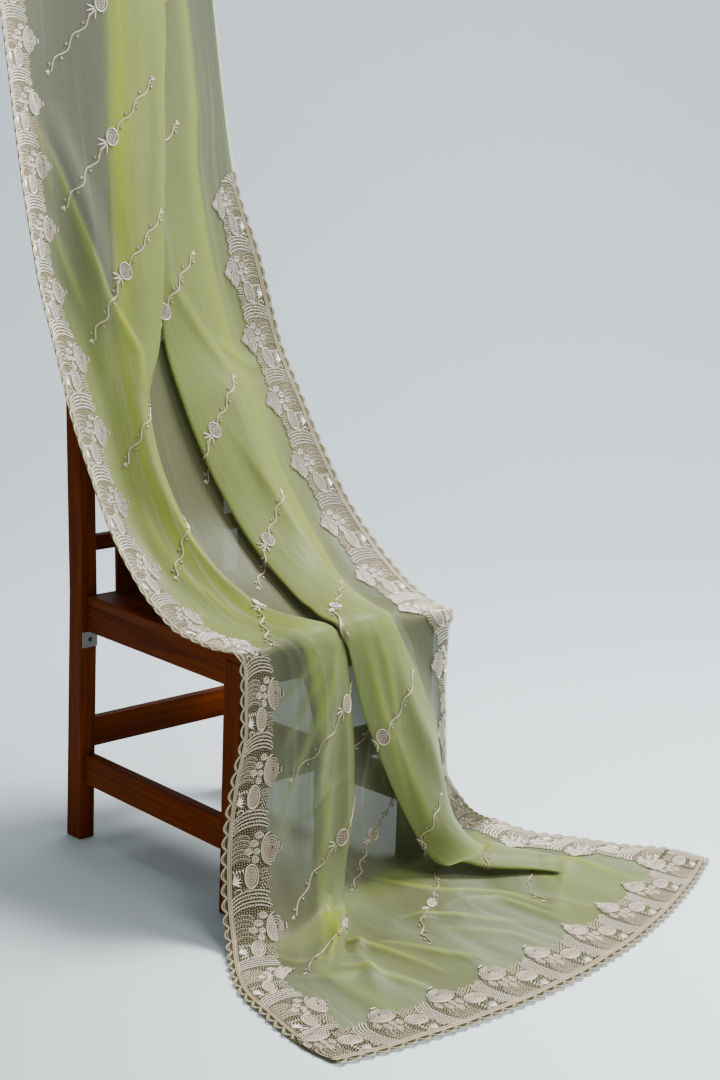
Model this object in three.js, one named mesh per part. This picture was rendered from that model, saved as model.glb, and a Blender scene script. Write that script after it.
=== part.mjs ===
// An organza saree draped over a wooden side chair, with its pallu spread on the floor in front.
// Millimetres, +Z up. The chair faces -Y. Work is done about the middle of the chair's feet,
// and the finished group is moved so that its origin is the middle of the whole part's floor box.
import * as THREE from 'three';

// ---------------------------------------------------------------- driving sizes

const GAP = 0.3;                      // left between pieces that touch

const CHAIR = {
  width: 433, depth: 483,             // over the outer faces of the legs at the front
  backInset: 10.4,                    // the back posts stand this much further in
  legWidth: 31.7, frontLegDepth: 43.3, backLegDepth: 40.2,
  footKick: 4.7,                      // the back feet are set back by this
  backRake: 16.3,                     // the post tops are set back by this
  seatTop: 450, seatThickness: 18, seatOverhang: 4, seatSideOverhang: 1, seatEdgeRadius: 9,
  railBottom: 385, railThickness: 22, railInset: 9.4,
  top: 878, crestRailHeight: 46, crestRailThickness: 22,
};

const STRETCHER = { thickness: 20, side: [103.6, 158.2], back: [166, 218.6], front: [213.6, 266] };
const BACK_RAIL = { bottom: 524, top: 551, thickness: 18 };
const SPLAT = { left: -122, right: 120, thickness: 10 };
const BRACKET = { thickness: 1.6, height: 28, top: 384 };

const POLE = { x: -52, y: 408, z: 1640, radius: 17.4, length: 640, sides: 24 };

const CLOTH = {
  wall: 1.2,
  cut: 1100,                          // width of the saree before it is folded
  bandWidth: 95,                      // embroidered border, of the cut width
  overhang: 6,                        // the border's scallops stand past the ground cloth
};

const COLOURS = {
  organza: 0xaab56f, border: 0xb9a582, piping: 0xa9b877, wood: 0x5a2b12, pole: 0x8f8a80, metal: 0xb8b8b4,
};

// ---------------------------------------------------------------- the two tables of the drape

// Where each cross line of the cloth lies. L and R are its left and right ends. lean is the way
// that a fold stands off the line: 0 up, 90 forwards, -90 backwards. bow moves the middle of the
// line in Y, and bulge moves it in Y beside the left border.
const WHERE = {
  columns: ['xL', 'xR', 'yL', 'yR', 'zL', 'zR', 'lean', 'bow', 'bulge'],
  tail: [-288, 182, 431, 431, 1470, 1470, -90, 0, 0],
  poleBack: [-288, 182, 428, 428, 1640, 1640, -90, 0, 0],
  poleRear: [-288, 182, 422.1, 422.1, 1654.1, 1654.1, -45, 0, 0],
  poleTop: [-288, 182, 408, 408, 1660, 1660, 0, 0, 0],
  poleFront: [-288, 182, 393.9, 393.9, 1654.1, 1654.1, 45, 0, 0],
  poleFall: [-290, 182, 388, 388, 1640, 1640, 78, 0, 0],
  high: [-306, 175, 340, 340, 1450, 1450, 76, 0, 0],
  upper: [-312, 168, 300, 300, 1290, 1290, 76, 0, 0],
  dome: [-314, 166, 270, 270, 1168, 1168, 76, 0, 0],
  middle: [-302, 197, 240, 236, 1010, 1010, 78, 0, 0],
  crest: [-280, 220, 216.4, 211, 885, 880, 76, 0, 0],
  below: [-262, 229, 188, 145, 765, 765, 66, 0, 0],
  swoop1: [-248, 238, 152, 85, 674, 672, 56, 0, 0],
  swoop2: [-240, 246, 103, 22, 590, 586, 48, 0, 0],
  swoop3: [-238, 252, 40, -42, 528, 528, 34, 0, 0],
  swoop4: [-237, 257, -30, -100, 484, 487, 22, 0, 0],
  seatBack: [-236, 257, -115, -165, 454, 461, 8, 0, 0],
  seat: [-236, 257, -190, -212, 451.8, 452, 2, 0, 0],
  brink: [-234, 256, -234, -234, 452.6, 452.6, 10, 0, 0],
  brow: [-230, 256, -245.6, -245.6, 449.8, 449.8, 45, 0, 0],
  over: [-227, 257, -249, -249, 440, 440, 80, 0, 0],
  fall1: [-224, 268, -249.5, -250, 400, 400, 88, 0, 0],
  fall2: [-224, 262, -251, -252, 330, 330, 90, 0, -2],
  fall3: [-245, 258, -255, -255, 250, 250, 88, 0, -5],
  fall4: [-266, 252, -262, -257, 160, 165, 86, 0, -14],
  fall5: [-282, 300, -275, -248, 80, 95, 84, 0, -34],
  landing: [-310, 420, -312, -208, 12, 20, 82, -20, -58],
  floor1: [-360, 470, -400, -290, 0.6, 0.6, 28, -40, -30],
  floor2: [-394, 520, -482, -375, 0.6, 0.6, 6, -24, 0],
  floor3: [-406, 552, -534, -424, 0.6, 0.6, 0, -45, 0],
  floor4: [-420, 580, -594, -462, 0.6, 0.6, 0, -70, 0],
  floor5: [-428, 606, -658, -510, 0.6, 0.6, 0, -90, 0],
  end: [-424, 614, -716, -562, 0.6, 0.6, 0, -100, 0],
};

// Where the folds run on those lines. Two pleats face each other: the left one folds under at A and
// back at A0, the right one folds under at B and back at B0. P and Q are the inner edges of the
// borders. liftA and liftB are the heights of the pleats' middle layers, gap that of the next layer
// above. puffA and puffB crown the top layers. curlL and curlR lift the two edges. openA and openB
// run from 1, folded, to 0, spread out flat.
const FOLDS = {
  columns: ['P', 'A0', 'A', 'B', 'B0', 'Q', 'liftA', 'liftB', 'gap', 'puffA', 'puffB',
    'curlL', 'curlR', 'openA', 'openB'],
  tail: [-200, -68, 44, -30, 96, 120, 24, 8, 8, 5, 3, 6, 0, 1, 1],
  poleBack: [-200, -68, 44, -30, 96, 118, 24, 8, 8, 4, 3, 6, 0, 1, 1],
  poleRear: [-200, -68, 44, -30, 96, 118, 24, 8, 8, 3, 3, 6, 0, 1, 1],
  poleTop: [-200, -68, 44, -30, 96, 118, 24, 8, 8, 3, 3, 6, 0, 1, 1],
  poleFront: [-200, -68, 44, -30, 96, 118, 24, 8, 8, 3, 3, 6, 0, 1, 1],
  poleFall: [-205, -70, 44, -30, 96, 118, 24, 8, 8, 4, 3, 8, 0, 1, 1],
  high: [-226, -78, 42, -28, 112, 136, 24, 8, 8, 8, 3, 34, 0, 1, 1],
  upper: [-238, -100, 14, -38, 104, 128, 24, 8, 8, 8, 3, 38, 0, 1, 1],
  dome: [-240, -120, -7, -48, 86, 110, 25, 8, 8, 8, 4, 38, 6, 1, 1],
  middle: [-238, -134, -30, -46, 94, 118, 25, 8, 8, 10, 9, 36, 14, 1, 1],
  crest: [-204, -144, -48, -40, 122, 145, 16, 8, 8, 12, 16, 32, 16, 1, 1],
  below: [-178, -147, -96, -30, 136, 156, 12, 10, 10, 12, 18, 28, 14, 1, 1],
  swoop1: [-178, -149, -100, -18, 138, 162, 12, 10, 10, 12, 18, 24, 12, 1, 1],
  swoop2: [-178, -140, -92, -2, 146, 172, 12, 10, 10, 14, 18, 20, 10, 1, 1],
  swoop3: [-177, -132, -86, 4, 144, 170, 12, 10, 10, 14, 18, 14, 8, 1, 1],
  swoop4: [-176, -120, -76, 10, 136, 170, 12, 10, 10, 12, 16, 4, 6, 1, 1],
  seatBack: [-172, -106, -58, 4, 128, 164, 10, 12, 10, 10, 14, -2, 0, 1, 1],
  seat: [-176, -105, -42, -12, 115, 162, 10, 20, 10, 10, 14, -4, -3, 1, 1],
  brink: [-174, -110, -28, -32, 100, 160, 10, 30, 10, 9, 12, -1, -3, 1, 1],
  brow: [-164, -110, -22, -32, 100, 168, 10, 32, 10, 9, 12, 0, -5, 1, 1],
  over: [-150, -110, -16, -24, 106, 180, 10, 32, 10, 9, 12, 0, -8, 1, 1],
  fall1: [-140, -104, -4, -12, 132, 204, 10, 30, 12, 10, 14, 0, -34, 1, 1],
  fall2: [-142, -90, 4, 8, 170, 206, 12, 28, 12, 12, 16, 0, -36, 1, 1],
  fall3: [-148, -88, 8, 40, 197, 216, 12, 32, 14, 14, 18, 0, -30, 1, 1],
  fall4: [-160, -88, 2, 76, 205, 226, 14, 44, 14, 14, 18, 0, -10, 1, 1],
  fall5: [-182, -98, -12, 112, 233, 254, 14, 66, 14, 14, 18, 0, 0, 1, 1],
  landing: [-222, -118, -42, 168, 307, 332, 14, 86, 14, 12, 24, 0, 0, 1, 1],
  floor1: [-262, -196, -122, 224, 348, 376, 10, 24, 12, 10, 22, 0, 0, 0.9, 1],
  floor2: [-286, -258, -184, 318, 398, 426, 6, 10, 9, 8, 26, 0, 0, 0.7, 1],
  floor3: [-298, -262, -190, 392, 438, 462, 4, 6, 7, 6, 24, 0, 0, 0.3, 0.8],
  floor4: [-312, -205, -185, 420, 445, 488, 2, 3, 4, 3, 12, 0, 0, 0.1, 0.3],
  floor5: [-330, -205, -185, 420, 450, 512, 0, 0, 0, 0, 0, 0, 0, 0, 0],
  end: [-326, -205, -185, 420, 450, 520, 0, 0, 0, 0, 0, 0, 0, 0, 0],
};

// The largest creases, each a soft ridge from one cross line to another.
const CREASES = {
  columns: ['from', 'xFrom', 'to', 'xTo', 'width', 'height'],
  rows: [
    ['upper', -215, 'crest', -135, 22, 12],
    ['dome', -180, 'below', -165, 16, 7],
    ['high', 20, 'middle', -60, 15, 5],
    ['crest', 60, 'swoop4', 96, 20, 8],
    ['over', -40, 'fall5', -130, 18, 12],
    ['brow', -20, 'landing', -40, 16, 9],
    ['over', 60, 'fall5', 220, 20, 10],
    ['floor1', -100, 'floor4', -230, 16, 12],
    ['floor1', 40, 'floor5', -40, 22, 9],
    ['floor1', 120, 'floor5', 160, 24, 10],
    ['floor2', 200, 'floor5', 300, 20, 8],
  ],
};

// ---------------------------------------------------------------- small helpers

const radians = (degrees) => (degrees * Math.PI) / 180;
const between = (a, b, k) => a + (b - a) * k;
const middle = (a, b) => (a + b) / 2;

const LINES = Object.keys(WHERE).slice(1);

const named = (table, line) =>
  Object.fromEntries(table.columns.map((name, i) => [name, table[line][i]]));

/** Length of cloth from the tail to each cross line, the mean of its left and right edges. */
function lengthsAlong() {
  const lengths = [0];
  for (let i = 1; i < LINES.length; i += 1) {
    const [a, b] = [named(WHERE, LINES[i - 1]), named(WHERE, LINES[i])];
    const left = Math.hypot(b.xL - a.xL, b.yL - a.yL, b.zL - a.zL);
    const right = Math.hypot(b.xR - a.xR, b.yR - a.yR, b.zR - a.zR);
    lengths.push(lengths[i - 1] + middle(left, right));
  }
  return lengths;
}

const LENGTHS = lengthsAlong();
const lengthOf = (line) => LENGTHS[LINES.indexOf(line)];

/** Slope at each value for a cubic that never overshoots them (harmonic mean of its neighbours). */
function quietSlopes(values) {
  const secants = values.slice(1).map((y, i) => (y - values[i]) / (LENGTHS[i + 1] - LENGTHS[i]));
  return values.map((_, i) => {
    if (i === 0) return secants[0];
    if (i === values.length - 1) return secants[i - 1];
    const [a, b] = [secants[i - 1], secants[i]];
    if (a * b <= 0) return 0;
    const [before, after] = [LENGTHS[i] - LENGTHS[i - 1], LENGTHS[i + 1] - LENGTHS[i]];
    const [p, q] = [2 * after + before, after + 2 * before];
    return (p + q) / (p / a + q / b);
  });
}

/** Each column of a table as a function of the length along the cloth. */
function smooth(table) {
  const curves = table.columns.map((name, c) => {
    const values = LINES.map((line) => table[line][c]);
    return { name, values, slopes: quietSlopes(values) };
  });
  return (length) => {
    const last = LENGTHS.length - 2;
    let i = LENGTHS.findIndex((l) => l > length) - 1;
    if (i < 0) i = last;
    const h = LENGTHS[i + 1] - LENGTHS[i];
    const t = (length - LENGTHS[i]) / h;
    const cubic = ({ values, slopes }) =>
      (1 + 2 * t) * (1 - t) ** 2 * values[i] + t * (1 - t) ** 2 * h * slopes[i] +
      t * t * (3 - 2 * t) * values[i + 1] + t * t * (t - 1) * h * slopes[i + 1];
    return Object.fromEntries(curves.map((curve) => [curve.name, cubic(curve)]));
  };
}

const whereAt = smooth(WHERE);
const foldsAt = smooth(FOLDS);

// ---------------------------------------------------------------- the cloth's cross section

/** The knots of one cross section, from the left edge to the right: distance along the line, height
 * off it, and place on the cut width. */
function sectionKnots(length) {
  const { xL, xR } = whereAt(length);
  const f = foldsAt(length);
  const { P, A0, A, B, B0, Q, liftA, liftB, gap } = f;
  const [topA, topB] = [liftA + gap, liftB + gap];
  // how far a turn reaches, less on a narrow pleat
  const [turnA, turnB] = [A - A0, B0 - B].map((width) => Math.min(gap * 0.8 + 1, width * 0.3));
  const [midA, midB] = [middle(A0, A), middle(B0, B)];
  const [up, edge] = [Math.max(f.curlL, 0) * 0.45, Math.max(f.curlR, 0) * 0.45];
  const knots = [
    [xL, f.curlL, 0], [between(xL, P, 0.3), up, 30], [P, 0, 95],
    [middle(P, A0) - 6, topA * 0.15, 140], [A0 + turnA, topA, 180], [midA, topA + f.puffA, 235],
    [A - turnA, topA, 285], [A, topA - gap / 2, 297], [A - turnA, liftA, 309], [midA, liftA, 350],
    [A0 + turnA, liftA, 392], [A0, liftA / 2, 402], [A0 + turnA, 0, 412], [midA, 0, 455],
    [middle(A, B), 0, 530],
    [midB, 0, 610], [B0 - turnB, 0, 672], [B0, liftB / 2, 684], [B0 - turnB, liftB, 696],
    [midB, liftB, 750], [B + turnB, liftB, 806], [B, liftB + gap / 2, 818], [B + turnB, topB, 830],
    [midB, topB + f.puffB, 885], [Math.min(B0 - 12, Q - 26), topB, 940],
    [Math.min(B0 + 14, Q - 10), topB * 0.3, 975],
    [Q, 0, 1005], [between(xR, Q, 0.3), edge, 1070], [xR, f.curlR, CLOTH.cut],
  ];
  const [border, valley] = [3, 14];   // the knots before and at these are not in the left pleat
  return knots.map(([x, height, cut], i) => {
    const inBorder = i < border || i >= knots.length - border;
    const open = i < valley ? f.openA : i > valley ? f.openB : middle(f.openA, f.openB);
    const folded = inBorder ? 1 : open;
    const flat = between(xL, xR, cut / CLOTH.cut);
    return [between(flat, x, folded), height * folded];
  });
}

/** A uniform cubic B-spline through mirrored ends, so that it starts and stops on its end knots. */
function spline(knots, t) {
  const last = knots.length - 1;
  const i = Math.min(Math.floor(t), last - 1);
  const s = t - i;
  const mirror = (a, b) => [2 * a[0] - b[0], 2 * a[1] - b[1]];
  const at = (j) => {
    if (j < 0) return mirror(knots[0], knots[1]);
    if (j > last) return mirror(knots[last], knots[last - 1]);
    return knots[j];
  };
  const weights = [(1 - s) ** 3, 3 * s ** 3 - 6 * s * s + 4, -3 * s ** 3 + 3 * s * s + 3 * s + 1, s ** 3];
  const sum = (axis) => weights.reduce((total, w, k) => total + (w / 6) * at(i - 1 + k)[axis], 0);
  return [sum(0), sum(1)];
}

/** Height that the large creases add at distance x on the cross line at a length. */
function creaseHeight(length, x) {
  let height = 0;
  for (const [from, xFrom, to, xTo, width, rise] of CREASES.rows) {
    const k = (length - lengthOf(from)) / (lengthOf(to) - lengthOf(from));
    if (k > 0 && k < 1) {
      const fade = Math.sin(Math.PI * k);
      height += rise * fade * Math.exp(-(((x - between(xFrom, xTo, k)) / width) ** 2));
    }
  }
  return height;
}

/** A point of the cloth's middle surface: length along the cloth, place t across it in knots. */
function clothPoint(length, t) {
  const w = whereAt(length);
  const [x, section] = spline(sectionKnots(length), t);
  const k = (x - w.xL) / (w.xR - w.xL);
  const height = section + creaseHeight(length, x);
  const bulge = w.bulge * Math.exp(-(((x - foldsAt(length).P) / 90) ** 2));
  const y = between(w.yL, w.yR, k) + w.bow * 4 * k * (1 - k) + bulge;
  const z = between(w.zL, w.zR, k);
  const lean = radians(w.lean);
  return new THREE.Vector3(x, y - height * Math.sin(lean), z + height * Math.cos(lean));
}

// ---------------------------------------------------------------- walls

/** Unit normal of the middle surface, on the side that is seen, from steps both ways on it. */
function clothNormal(length, t) {
  const [lengthStep, tStep] = [4, 0.1];
  const along = clothPoint(length + lengthStep, t).sub(clothPoint(length - lengthStep, t));
  const across = clothPoint(length, t + tStep).sub(clothPoint(length, t - tStep));
  return along.cross(across).normalize();
}

/** A closed wall on a grid of points with normals: its middle stands `offset` off the grid. */
function wall(grid, offset) {
  const [rows, columns] = [grid.length, grid[0].length];
  const positions = [];
  for (const side of [offset - CLOTH.wall / 2, offset + CLOTH.wall / 2]) {
    for (const { point, normal } of grid.flat()) {
      positions.push(...point.clone().addScaledVector(normal, side).toArray());
    }
  }
  const back = (r, c) => r * columns + c;
  const front = (r, c) => rows * columns + back(r, c);
  const faces = [];
  const quad = (a, b, c, d) => faces.push(a, b, c, a, c, d);
  for (let r = 0; r + 1 < rows; r += 1) {
    for (let c = 0; c + 1 < columns; c += 1) {
      quad(back(r, c), back(r, c + 1), back(r + 1, c + 1), back(r + 1, c));
      quad(front(r, c), front(r + 1, c), front(r + 1, c + 1), front(r, c + 1));
    }
  }
  const [lastRow, lastColumn] = [rows - 1, columns - 1];
  for (let c = 0; c < lastColumn; c += 1) {
    quad(back(0, c + 1), back(0, c), front(0, c), front(0, c + 1));
    quad(back(lastRow, c), back(lastRow, c + 1), front(lastRow, c + 1), front(lastRow, c));
  }
  for (let r = 0; r < lastRow; r += 1) {
    quad(back(r, 0), back(r + 1, 0), front(r + 1, 0), front(r, 0));
    quad(back(r + 1, lastColumn), back(r, lastColumn), front(r, lastColumn), front(r + 1, lastColumn));
  }
  const geometry = new THREE.BufferGeometry();
  geometry.setAttribute('position', new THREE.Float32BufferAttribute(positions, 3));
  geometry.setIndex(faces);
  return geometry;
}

const steps = (from, to, count) =>
  Array.from({ length: count + 1 }, (_, i) => between(from, to, i / count));

/** Lengths at which a stretch is sectioned: the table's lines, and even steps between them. */
function stations(from, to, step) {
  const inside = LENGTHS.filter((length) => length > from + 1 && length < to - 1);
  const marks = [from + GAP / 2, ...inside, to - GAP / 2];
  return marks.slice(1).reduce((list, mark, i) => {
    const count = Math.max(1, Math.round((mark - marks[i]) / step));
    return [...list, ...steps(marks[i], mark, count).slice(1)];
  }, [marks[0]]);
}

const part = new THREE.Group();
part.name = 'organza_saree_on_chair';

function add(name, geometry, colour, roughness = 0.6, metalness = 0) {
  const material = new THREE.MeshStandardMaterial({ color: colour, roughness, metalness });
  const mesh = new THREE.Mesh(geometry, material);
  mesh.name = name;
  part.add(mesh);
  return mesh;
}

// ---------------------------------------------------------------- the saree and its borders

// Places across the cloth, in knots. The turns of the pleats have more of them.
const ACROSS = [
  0, 1, 2, 3, 4, 5, 6, 6.6, 7.4, 8, 9, 10, 10.6, 11.4, 12, 13, 14, 15, 16, 16.6, 17.4, 18,
  19, 20, 20.6, 21.4, 22, 23, 24, 25, 26, 27, 27.6, 28,
];
const EDGE = { border: 2, piping: 0.4 };   // widths, in knots from an edge
const LAST = 28;
const ON_TOP = CLOTH.wall + GAP;      // from the cloth's middle to the middle of what lies on it

const gridAt = (lengths) => lengths.map((length) => ACROSS.map((t) => (
  { length, t, point: clothPoint(length, t), normal: clothNormal(length, t) })));

/** The part of a grid that lies between two lengths and two places across. */
const cutOut = (grid, lengthFrom, lengthTo, tFrom, tTo) => grid
  .filter((row) => row[0].length >= lengthFrom && row[0].length <= lengthTo)
  .map((row) => row.filter(({ t }) => t >= tFrom && t <= tTo));

const domeStart = lengthOf('dome');   // the right border begins here, and the piping ends
const finish = lengthOf('end');
const turn = finish - CLOTH.bandWidth;   // from here on, the end border takes both corners

// One stretch after another: over the pole, down to the chair back, into the seat, over the seat's
// front edge, down to the floor, and spread out on it.
const STRETCHES = {
  columns: ['from', 'to', 'step'],
  tail: ['tail', 'poleFall', 90],
  rise: ['poleFall', 'crest', 85],
  swoop: ['crest', 'seatBack', 58],
  seat: ['seatBack', 'over', 40],
  fall: ['over', 'fall5', 50],
  pallu: ['fall5', 'end', 50],
};

/** Sections of a stretch, with a seam wherever a border starts, stops or turns. */
function sections(from, to, step) {
  if (from < domeStart && domeStart < to) {
    return [...stations(from, domeStart, step), ...stations(domeStart, to, step)];
  }
  if (to < finish) return stations(from, to, step);
  const corner = stations(turn, to - CLOTH.overhang, CLOTH.bandWidth / 3);
  return [...stations(from, turn, step), ...corner, finish - GAP / 2];
}

for (const name of Object.keys(STRETCHES).slice(1)) {
  const { from, to, step } = named(STRETCHES, name);
  const [start, stop] = [lengthOf(from), lengthOf(to)];
  const grid = gridAt(sections(start, stop, step));
  const clothStop = name === 'pallu' ? stop - CLOTH.overhang : stop;
  const bandStop = Math.min(stop, turn);
  const lay = (title, lengthFrom, lengthTo, tFrom, tTo, colour) => {
    add(title, wall(cutOut(grid, lengthFrom, lengthTo, tFrom, tTo), ON_TOP), colour, 0.55);
  };

  add(`saree_${name}`, wall(cutOut(grid, start, clothStop, 0, LAST), 0), COLOURS.organza, 0.35);
  lay(`border_left_${name}`, start, bandStop, 0, EDGE.border, COLOURS.border);
  if (start < domeStart) {
    lay(`piping_${name}`, start, Math.min(stop, domeStart), LAST - EDGE.piping, LAST, COLOURS.piping);
  }
  if (stop > domeStart) {
    const bandStart = Math.max(start, domeStart);
    lay(`border_right_${name}`, bandStart, bandStop, LAST - EDGE.border, LAST, COLOURS.border);
  }
  if (name === 'pallu') lay('border_end', turn, finish, 0, LAST, COLOURS.border);
}

// ---------------------------------------------------------------- the chair

/** An outline of straight sides carried from `start` to `stop` along its own third axis. */
function prism(outline, start, stop) {
  const shape = new THREE.Shape(outline.map(([a, b]) => new THREE.Vector2(a, b)));
  const geometry = new THREE.ExtrudeGeometry(shape, { depth: stop - start, bevelEnabled: false });
  return geometry.translate(0, 0, start);
}

/** A piece of the chair with its outline in Y and Z, from x = start to x = stop. */
function sidewaysPiece(name, outline, start, stop, colour = COLOURS.wood) {
  const swapAxes = new THREE.Matrix4().set(0, 0, 1, 0, 1, 0, 0, 0, 0, 1, 0, 0, 0, 0, 0, 1);
  return add(name, prism(outline, start, stop).applyMatrix4(swapAxes), colour, 0.45);
}

const half = { width: CHAIR.width / 2, depth: CHAIR.depth / 2 };
const frontLegBack = -half.depth + CHAIR.frontLegDepth;
const postFront = half.depth - CHAIR.backLegDepth;
const railTop = CHAIR.seatTop - CHAIR.seatThickness - GAP;
const rakeAt = (z) => (CHAIR.backRake * Math.max(z - CHAIR.seatTop, 0)) / (CHAIR.top - CHAIR.seatTop);
const kickAt = (z) => (CHAIR.footKick * Math.max(railTop - z, 0)) / railTop;
const postFace = (z) => postFront + rakeAt(z) + kickAt(z);

for (const [side, name] of [[-1, 'left'], [1, 'right']]) {
  const outer = side * half.width;
  const [x0, x1] = [outer, outer - side * CHAIR.legWidth].sort((a, b) => a - b);
  const legOutline = [
    [-half.depth, 0], [frontLegBack, 0], [frontLegBack, railTop], [-half.depth, railTop],
  ];
  sidewaysPiece(`chair_leg_${name}`, legOutline, x0, x1);

  const postOuter = side * (half.width - CHAIR.backInset);
  const [p0, p1] = [postOuter, postOuter - side * CHAIR.legWidth].sort((a, b) => a - b);
  const heights = [0, railTop, CHAIR.seatTop, CHAIR.top];
  const postOutline = [
    ...heights.map((z) => [postFace(z) + CHAIR.backLegDepth, z]),
    ...heights.toReversed().map((z) => [postFace(z), z]),
  ];
  sidewaysPiece(`chair_post_${name}`, postOutline, p0, p1);
}

/** A straight rail from front to back on one side, drawn in towards the narrower back. */
function sideRail(name, side, thickness, bottom, top) {
  const outerFront = side * (half.width - CHAIR.railInset);
  const outerBack = outerFront - side * CHAIR.backInset;
  const [front, back] = [frontLegBack + GAP, postFace(top) - GAP];
  const inner = -side * thickness;
  const outline = [
    [outerFront, front], [outerBack, back], [outerBack + inner, back], [outerFront + inner, front],
  ];
  add(name, prism(side > 0 ? outline : outline.toReversed(), bottom, top), COLOURS.wood, 0.45);
}

for (const [side, name] of [[-1, 'left'], [1, 'right']]) {
  sideRail(`chair_seat_rail_${name}`, side, CHAIR.railThickness, CHAIR.railBottom, railTop);
  sideRail(`chair_stretcher_${name}`, side, STRETCHER.thickness, ...STRETCHER.side);
}

/** A cross rail between two legs or posts: X from -reach to reach, its front face at y. */
function crossRail(name, reach, y, thickness, bottom, top) {
  const outline = [[y, bottom], [y + thickness, bottom], [y + thickness, top], [y, top]];
  sidewaysPiece(name, outline, -reach, reach);
}

const frontReach = half.width - CHAIR.legWidth - GAP;
const backReach = frontReach - CHAIR.backInset;
const railFace = -half.depth + CHAIR.railInset;
crossRail('chair_seat_rail_front', frontReach, railFace, CHAIR.railThickness, CHAIR.railBottom, railTop);
crossRail('chair_stretcher_front', frontReach, railFace + 6, STRETCHER.thickness, ...STRETCHER.front);
const backRailFace = postFace(CHAIR.railBottom) + 10;
crossRail('chair_seat_rail_back', backReach, backRailFace, CHAIR.railThickness, CHAIR.railBottom, railTop);
crossRail('chair_stretcher_back', backReach, postFace(200) + 10, STRETCHER.thickness, ...STRETCHER.back);

/** A piece of the chair back, standing along the rake: from z0 to z1, set `inset` behind the posts. */
function backPiece(name, x0, x1, z0, z1, inset, thickness) {
  const outline = [
    [postFace(z0) + inset, z0], [postFace(z0) + inset + thickness, z0],
    [postFace(z1) + inset + thickness, z1], [postFace(z1) + inset, z1],
  ];
  sidewaysPiece(name, outline, x0, x1);
}

const crestBottom = CHAIR.top - CHAIR.crestRailHeight;
backPiece('chair_crest_rail', -backReach, backReach, crestBottom, CHAIR.top, 4, CHAIR.crestRailThickness);
backPiece('chair_splat', SPLAT.left, SPLAT.right, railTop + GAP, crestBottom - GAP, 10, SPLAT.thickness);
for (const [name, x0, x1] of [
  ['left', -backReach, SPLAT.left - GAP],
  ['right', SPLAT.right + GAP, backReach],
]) {
  backPiece(`chair_back_rail_${name}`, x0, x1, BACK_RAIL.bottom, BACK_RAIL.top, 8, BACK_RAIL.thickness);
}

// The seat board: its front edge is rounded over, and its sides close in towards the back with the
// rails under them.
{
  const radius = CHAIR.seatEdgeRadius;
  const bottom = CHAIR.seatTop - CHAIR.seatThickness;
  const front = -half.depth - CHAIR.seatOverhang;
  const back = postFace(CHAIR.seatTop) - GAP;
  const round = steps(0, 90, 6).map((angle) => [
    front + radius - radius * Math.cos(radians(angle)),
    CHAIR.seatTop - radius + radius * Math.sin(radians(angle)),
  ]);
  const outline = [[front, bottom], [back, bottom], [back, CHAIR.seatTop], ...round.toReversed()];
  const frontReachOut = half.width + CHAIR.seatSideOverhang;
  const closing = CHAIR.backInset + CHAIR.railInset;
  const seat = sidewaysPiece('chair_seat', outline, -frontReachOut, frontReachOut);
  const position = seat.geometry.getAttribute('position');
  for (let i = 0; i < position.count; i += 1) {
    const share = (position.getY(i) - front) / (back - front);
    position.setX(i, Math.sign(position.getX(i)) * (frontReachOut - closing * share));
  }
}

// A small steel plate under the seat rail, screwed to the front face of the left post.
{
  const back = postFace(BRACKET.top) - GAP;
  const outer = -(half.width - CHAIR.backInset);
  const z0 = BRACKET.top - BRACKET.height;
  const face = back - BRACKET.thickness;
  const plate = [[face, z0], [back, z0], [back, BRACKET.top], [face, BRACKET.top]];
  sidewaysPiece('chair_bracket', plate, outer + GAP, outer + CHAIR.legWidth - GAP, COLOURS.metal);
}

// ---------------------------------------------------------------- the pole above

{
  const geometry = new THREE.CylinderGeometry(POLE.radius, POLE.radius, POLE.length, POLE.sides);
  const pole = add('hanging_pole', geometry, COLOURS.pole, 0.4);
  pole.rotation.z = Math.PI / 2;
  pole.position.set(POLE.x, POLE.y, POLE.z);
}

// The origin is the middle of the whole part's box, on the floor.
const box = new THREE.Box3().setFromObject(part);
part.position.set(-middle(box.min.x, box.max.x), -middle(box.min.y, box.max.y), -box.min.z);

export default part;
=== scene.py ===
import bmesh
import bpy
import numpy as np
from mathutils import Matrix, Vector


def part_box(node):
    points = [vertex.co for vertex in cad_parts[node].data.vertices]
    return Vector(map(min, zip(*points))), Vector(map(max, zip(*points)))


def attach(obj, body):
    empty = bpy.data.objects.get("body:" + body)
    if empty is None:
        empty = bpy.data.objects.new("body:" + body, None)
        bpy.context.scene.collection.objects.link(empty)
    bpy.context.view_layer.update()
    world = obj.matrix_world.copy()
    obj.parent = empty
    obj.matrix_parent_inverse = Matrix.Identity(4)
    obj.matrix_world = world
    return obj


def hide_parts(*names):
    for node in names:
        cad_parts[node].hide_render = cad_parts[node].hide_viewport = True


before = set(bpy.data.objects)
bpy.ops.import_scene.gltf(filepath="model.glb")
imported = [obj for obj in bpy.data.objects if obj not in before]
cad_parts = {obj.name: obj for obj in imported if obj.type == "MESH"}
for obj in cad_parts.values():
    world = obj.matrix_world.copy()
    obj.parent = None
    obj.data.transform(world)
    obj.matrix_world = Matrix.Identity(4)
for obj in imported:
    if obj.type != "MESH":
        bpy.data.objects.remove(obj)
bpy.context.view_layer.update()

# ---------------------------------------------------------------- the saree's ground cloth
# One length of sheer organza, pale green, cut 1.1 m wide, hung from a pole, let down over the
# chair's back and seat, and spread on the floor. Two pleats that face each other run down it, each
# folded to three layers. Sizes here are in millimetres from the middle of the feet.

MM = 0.001
CUT_WIDTH = 1100
BAND = 95                             # width of each embroidered border, within the cut width

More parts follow.
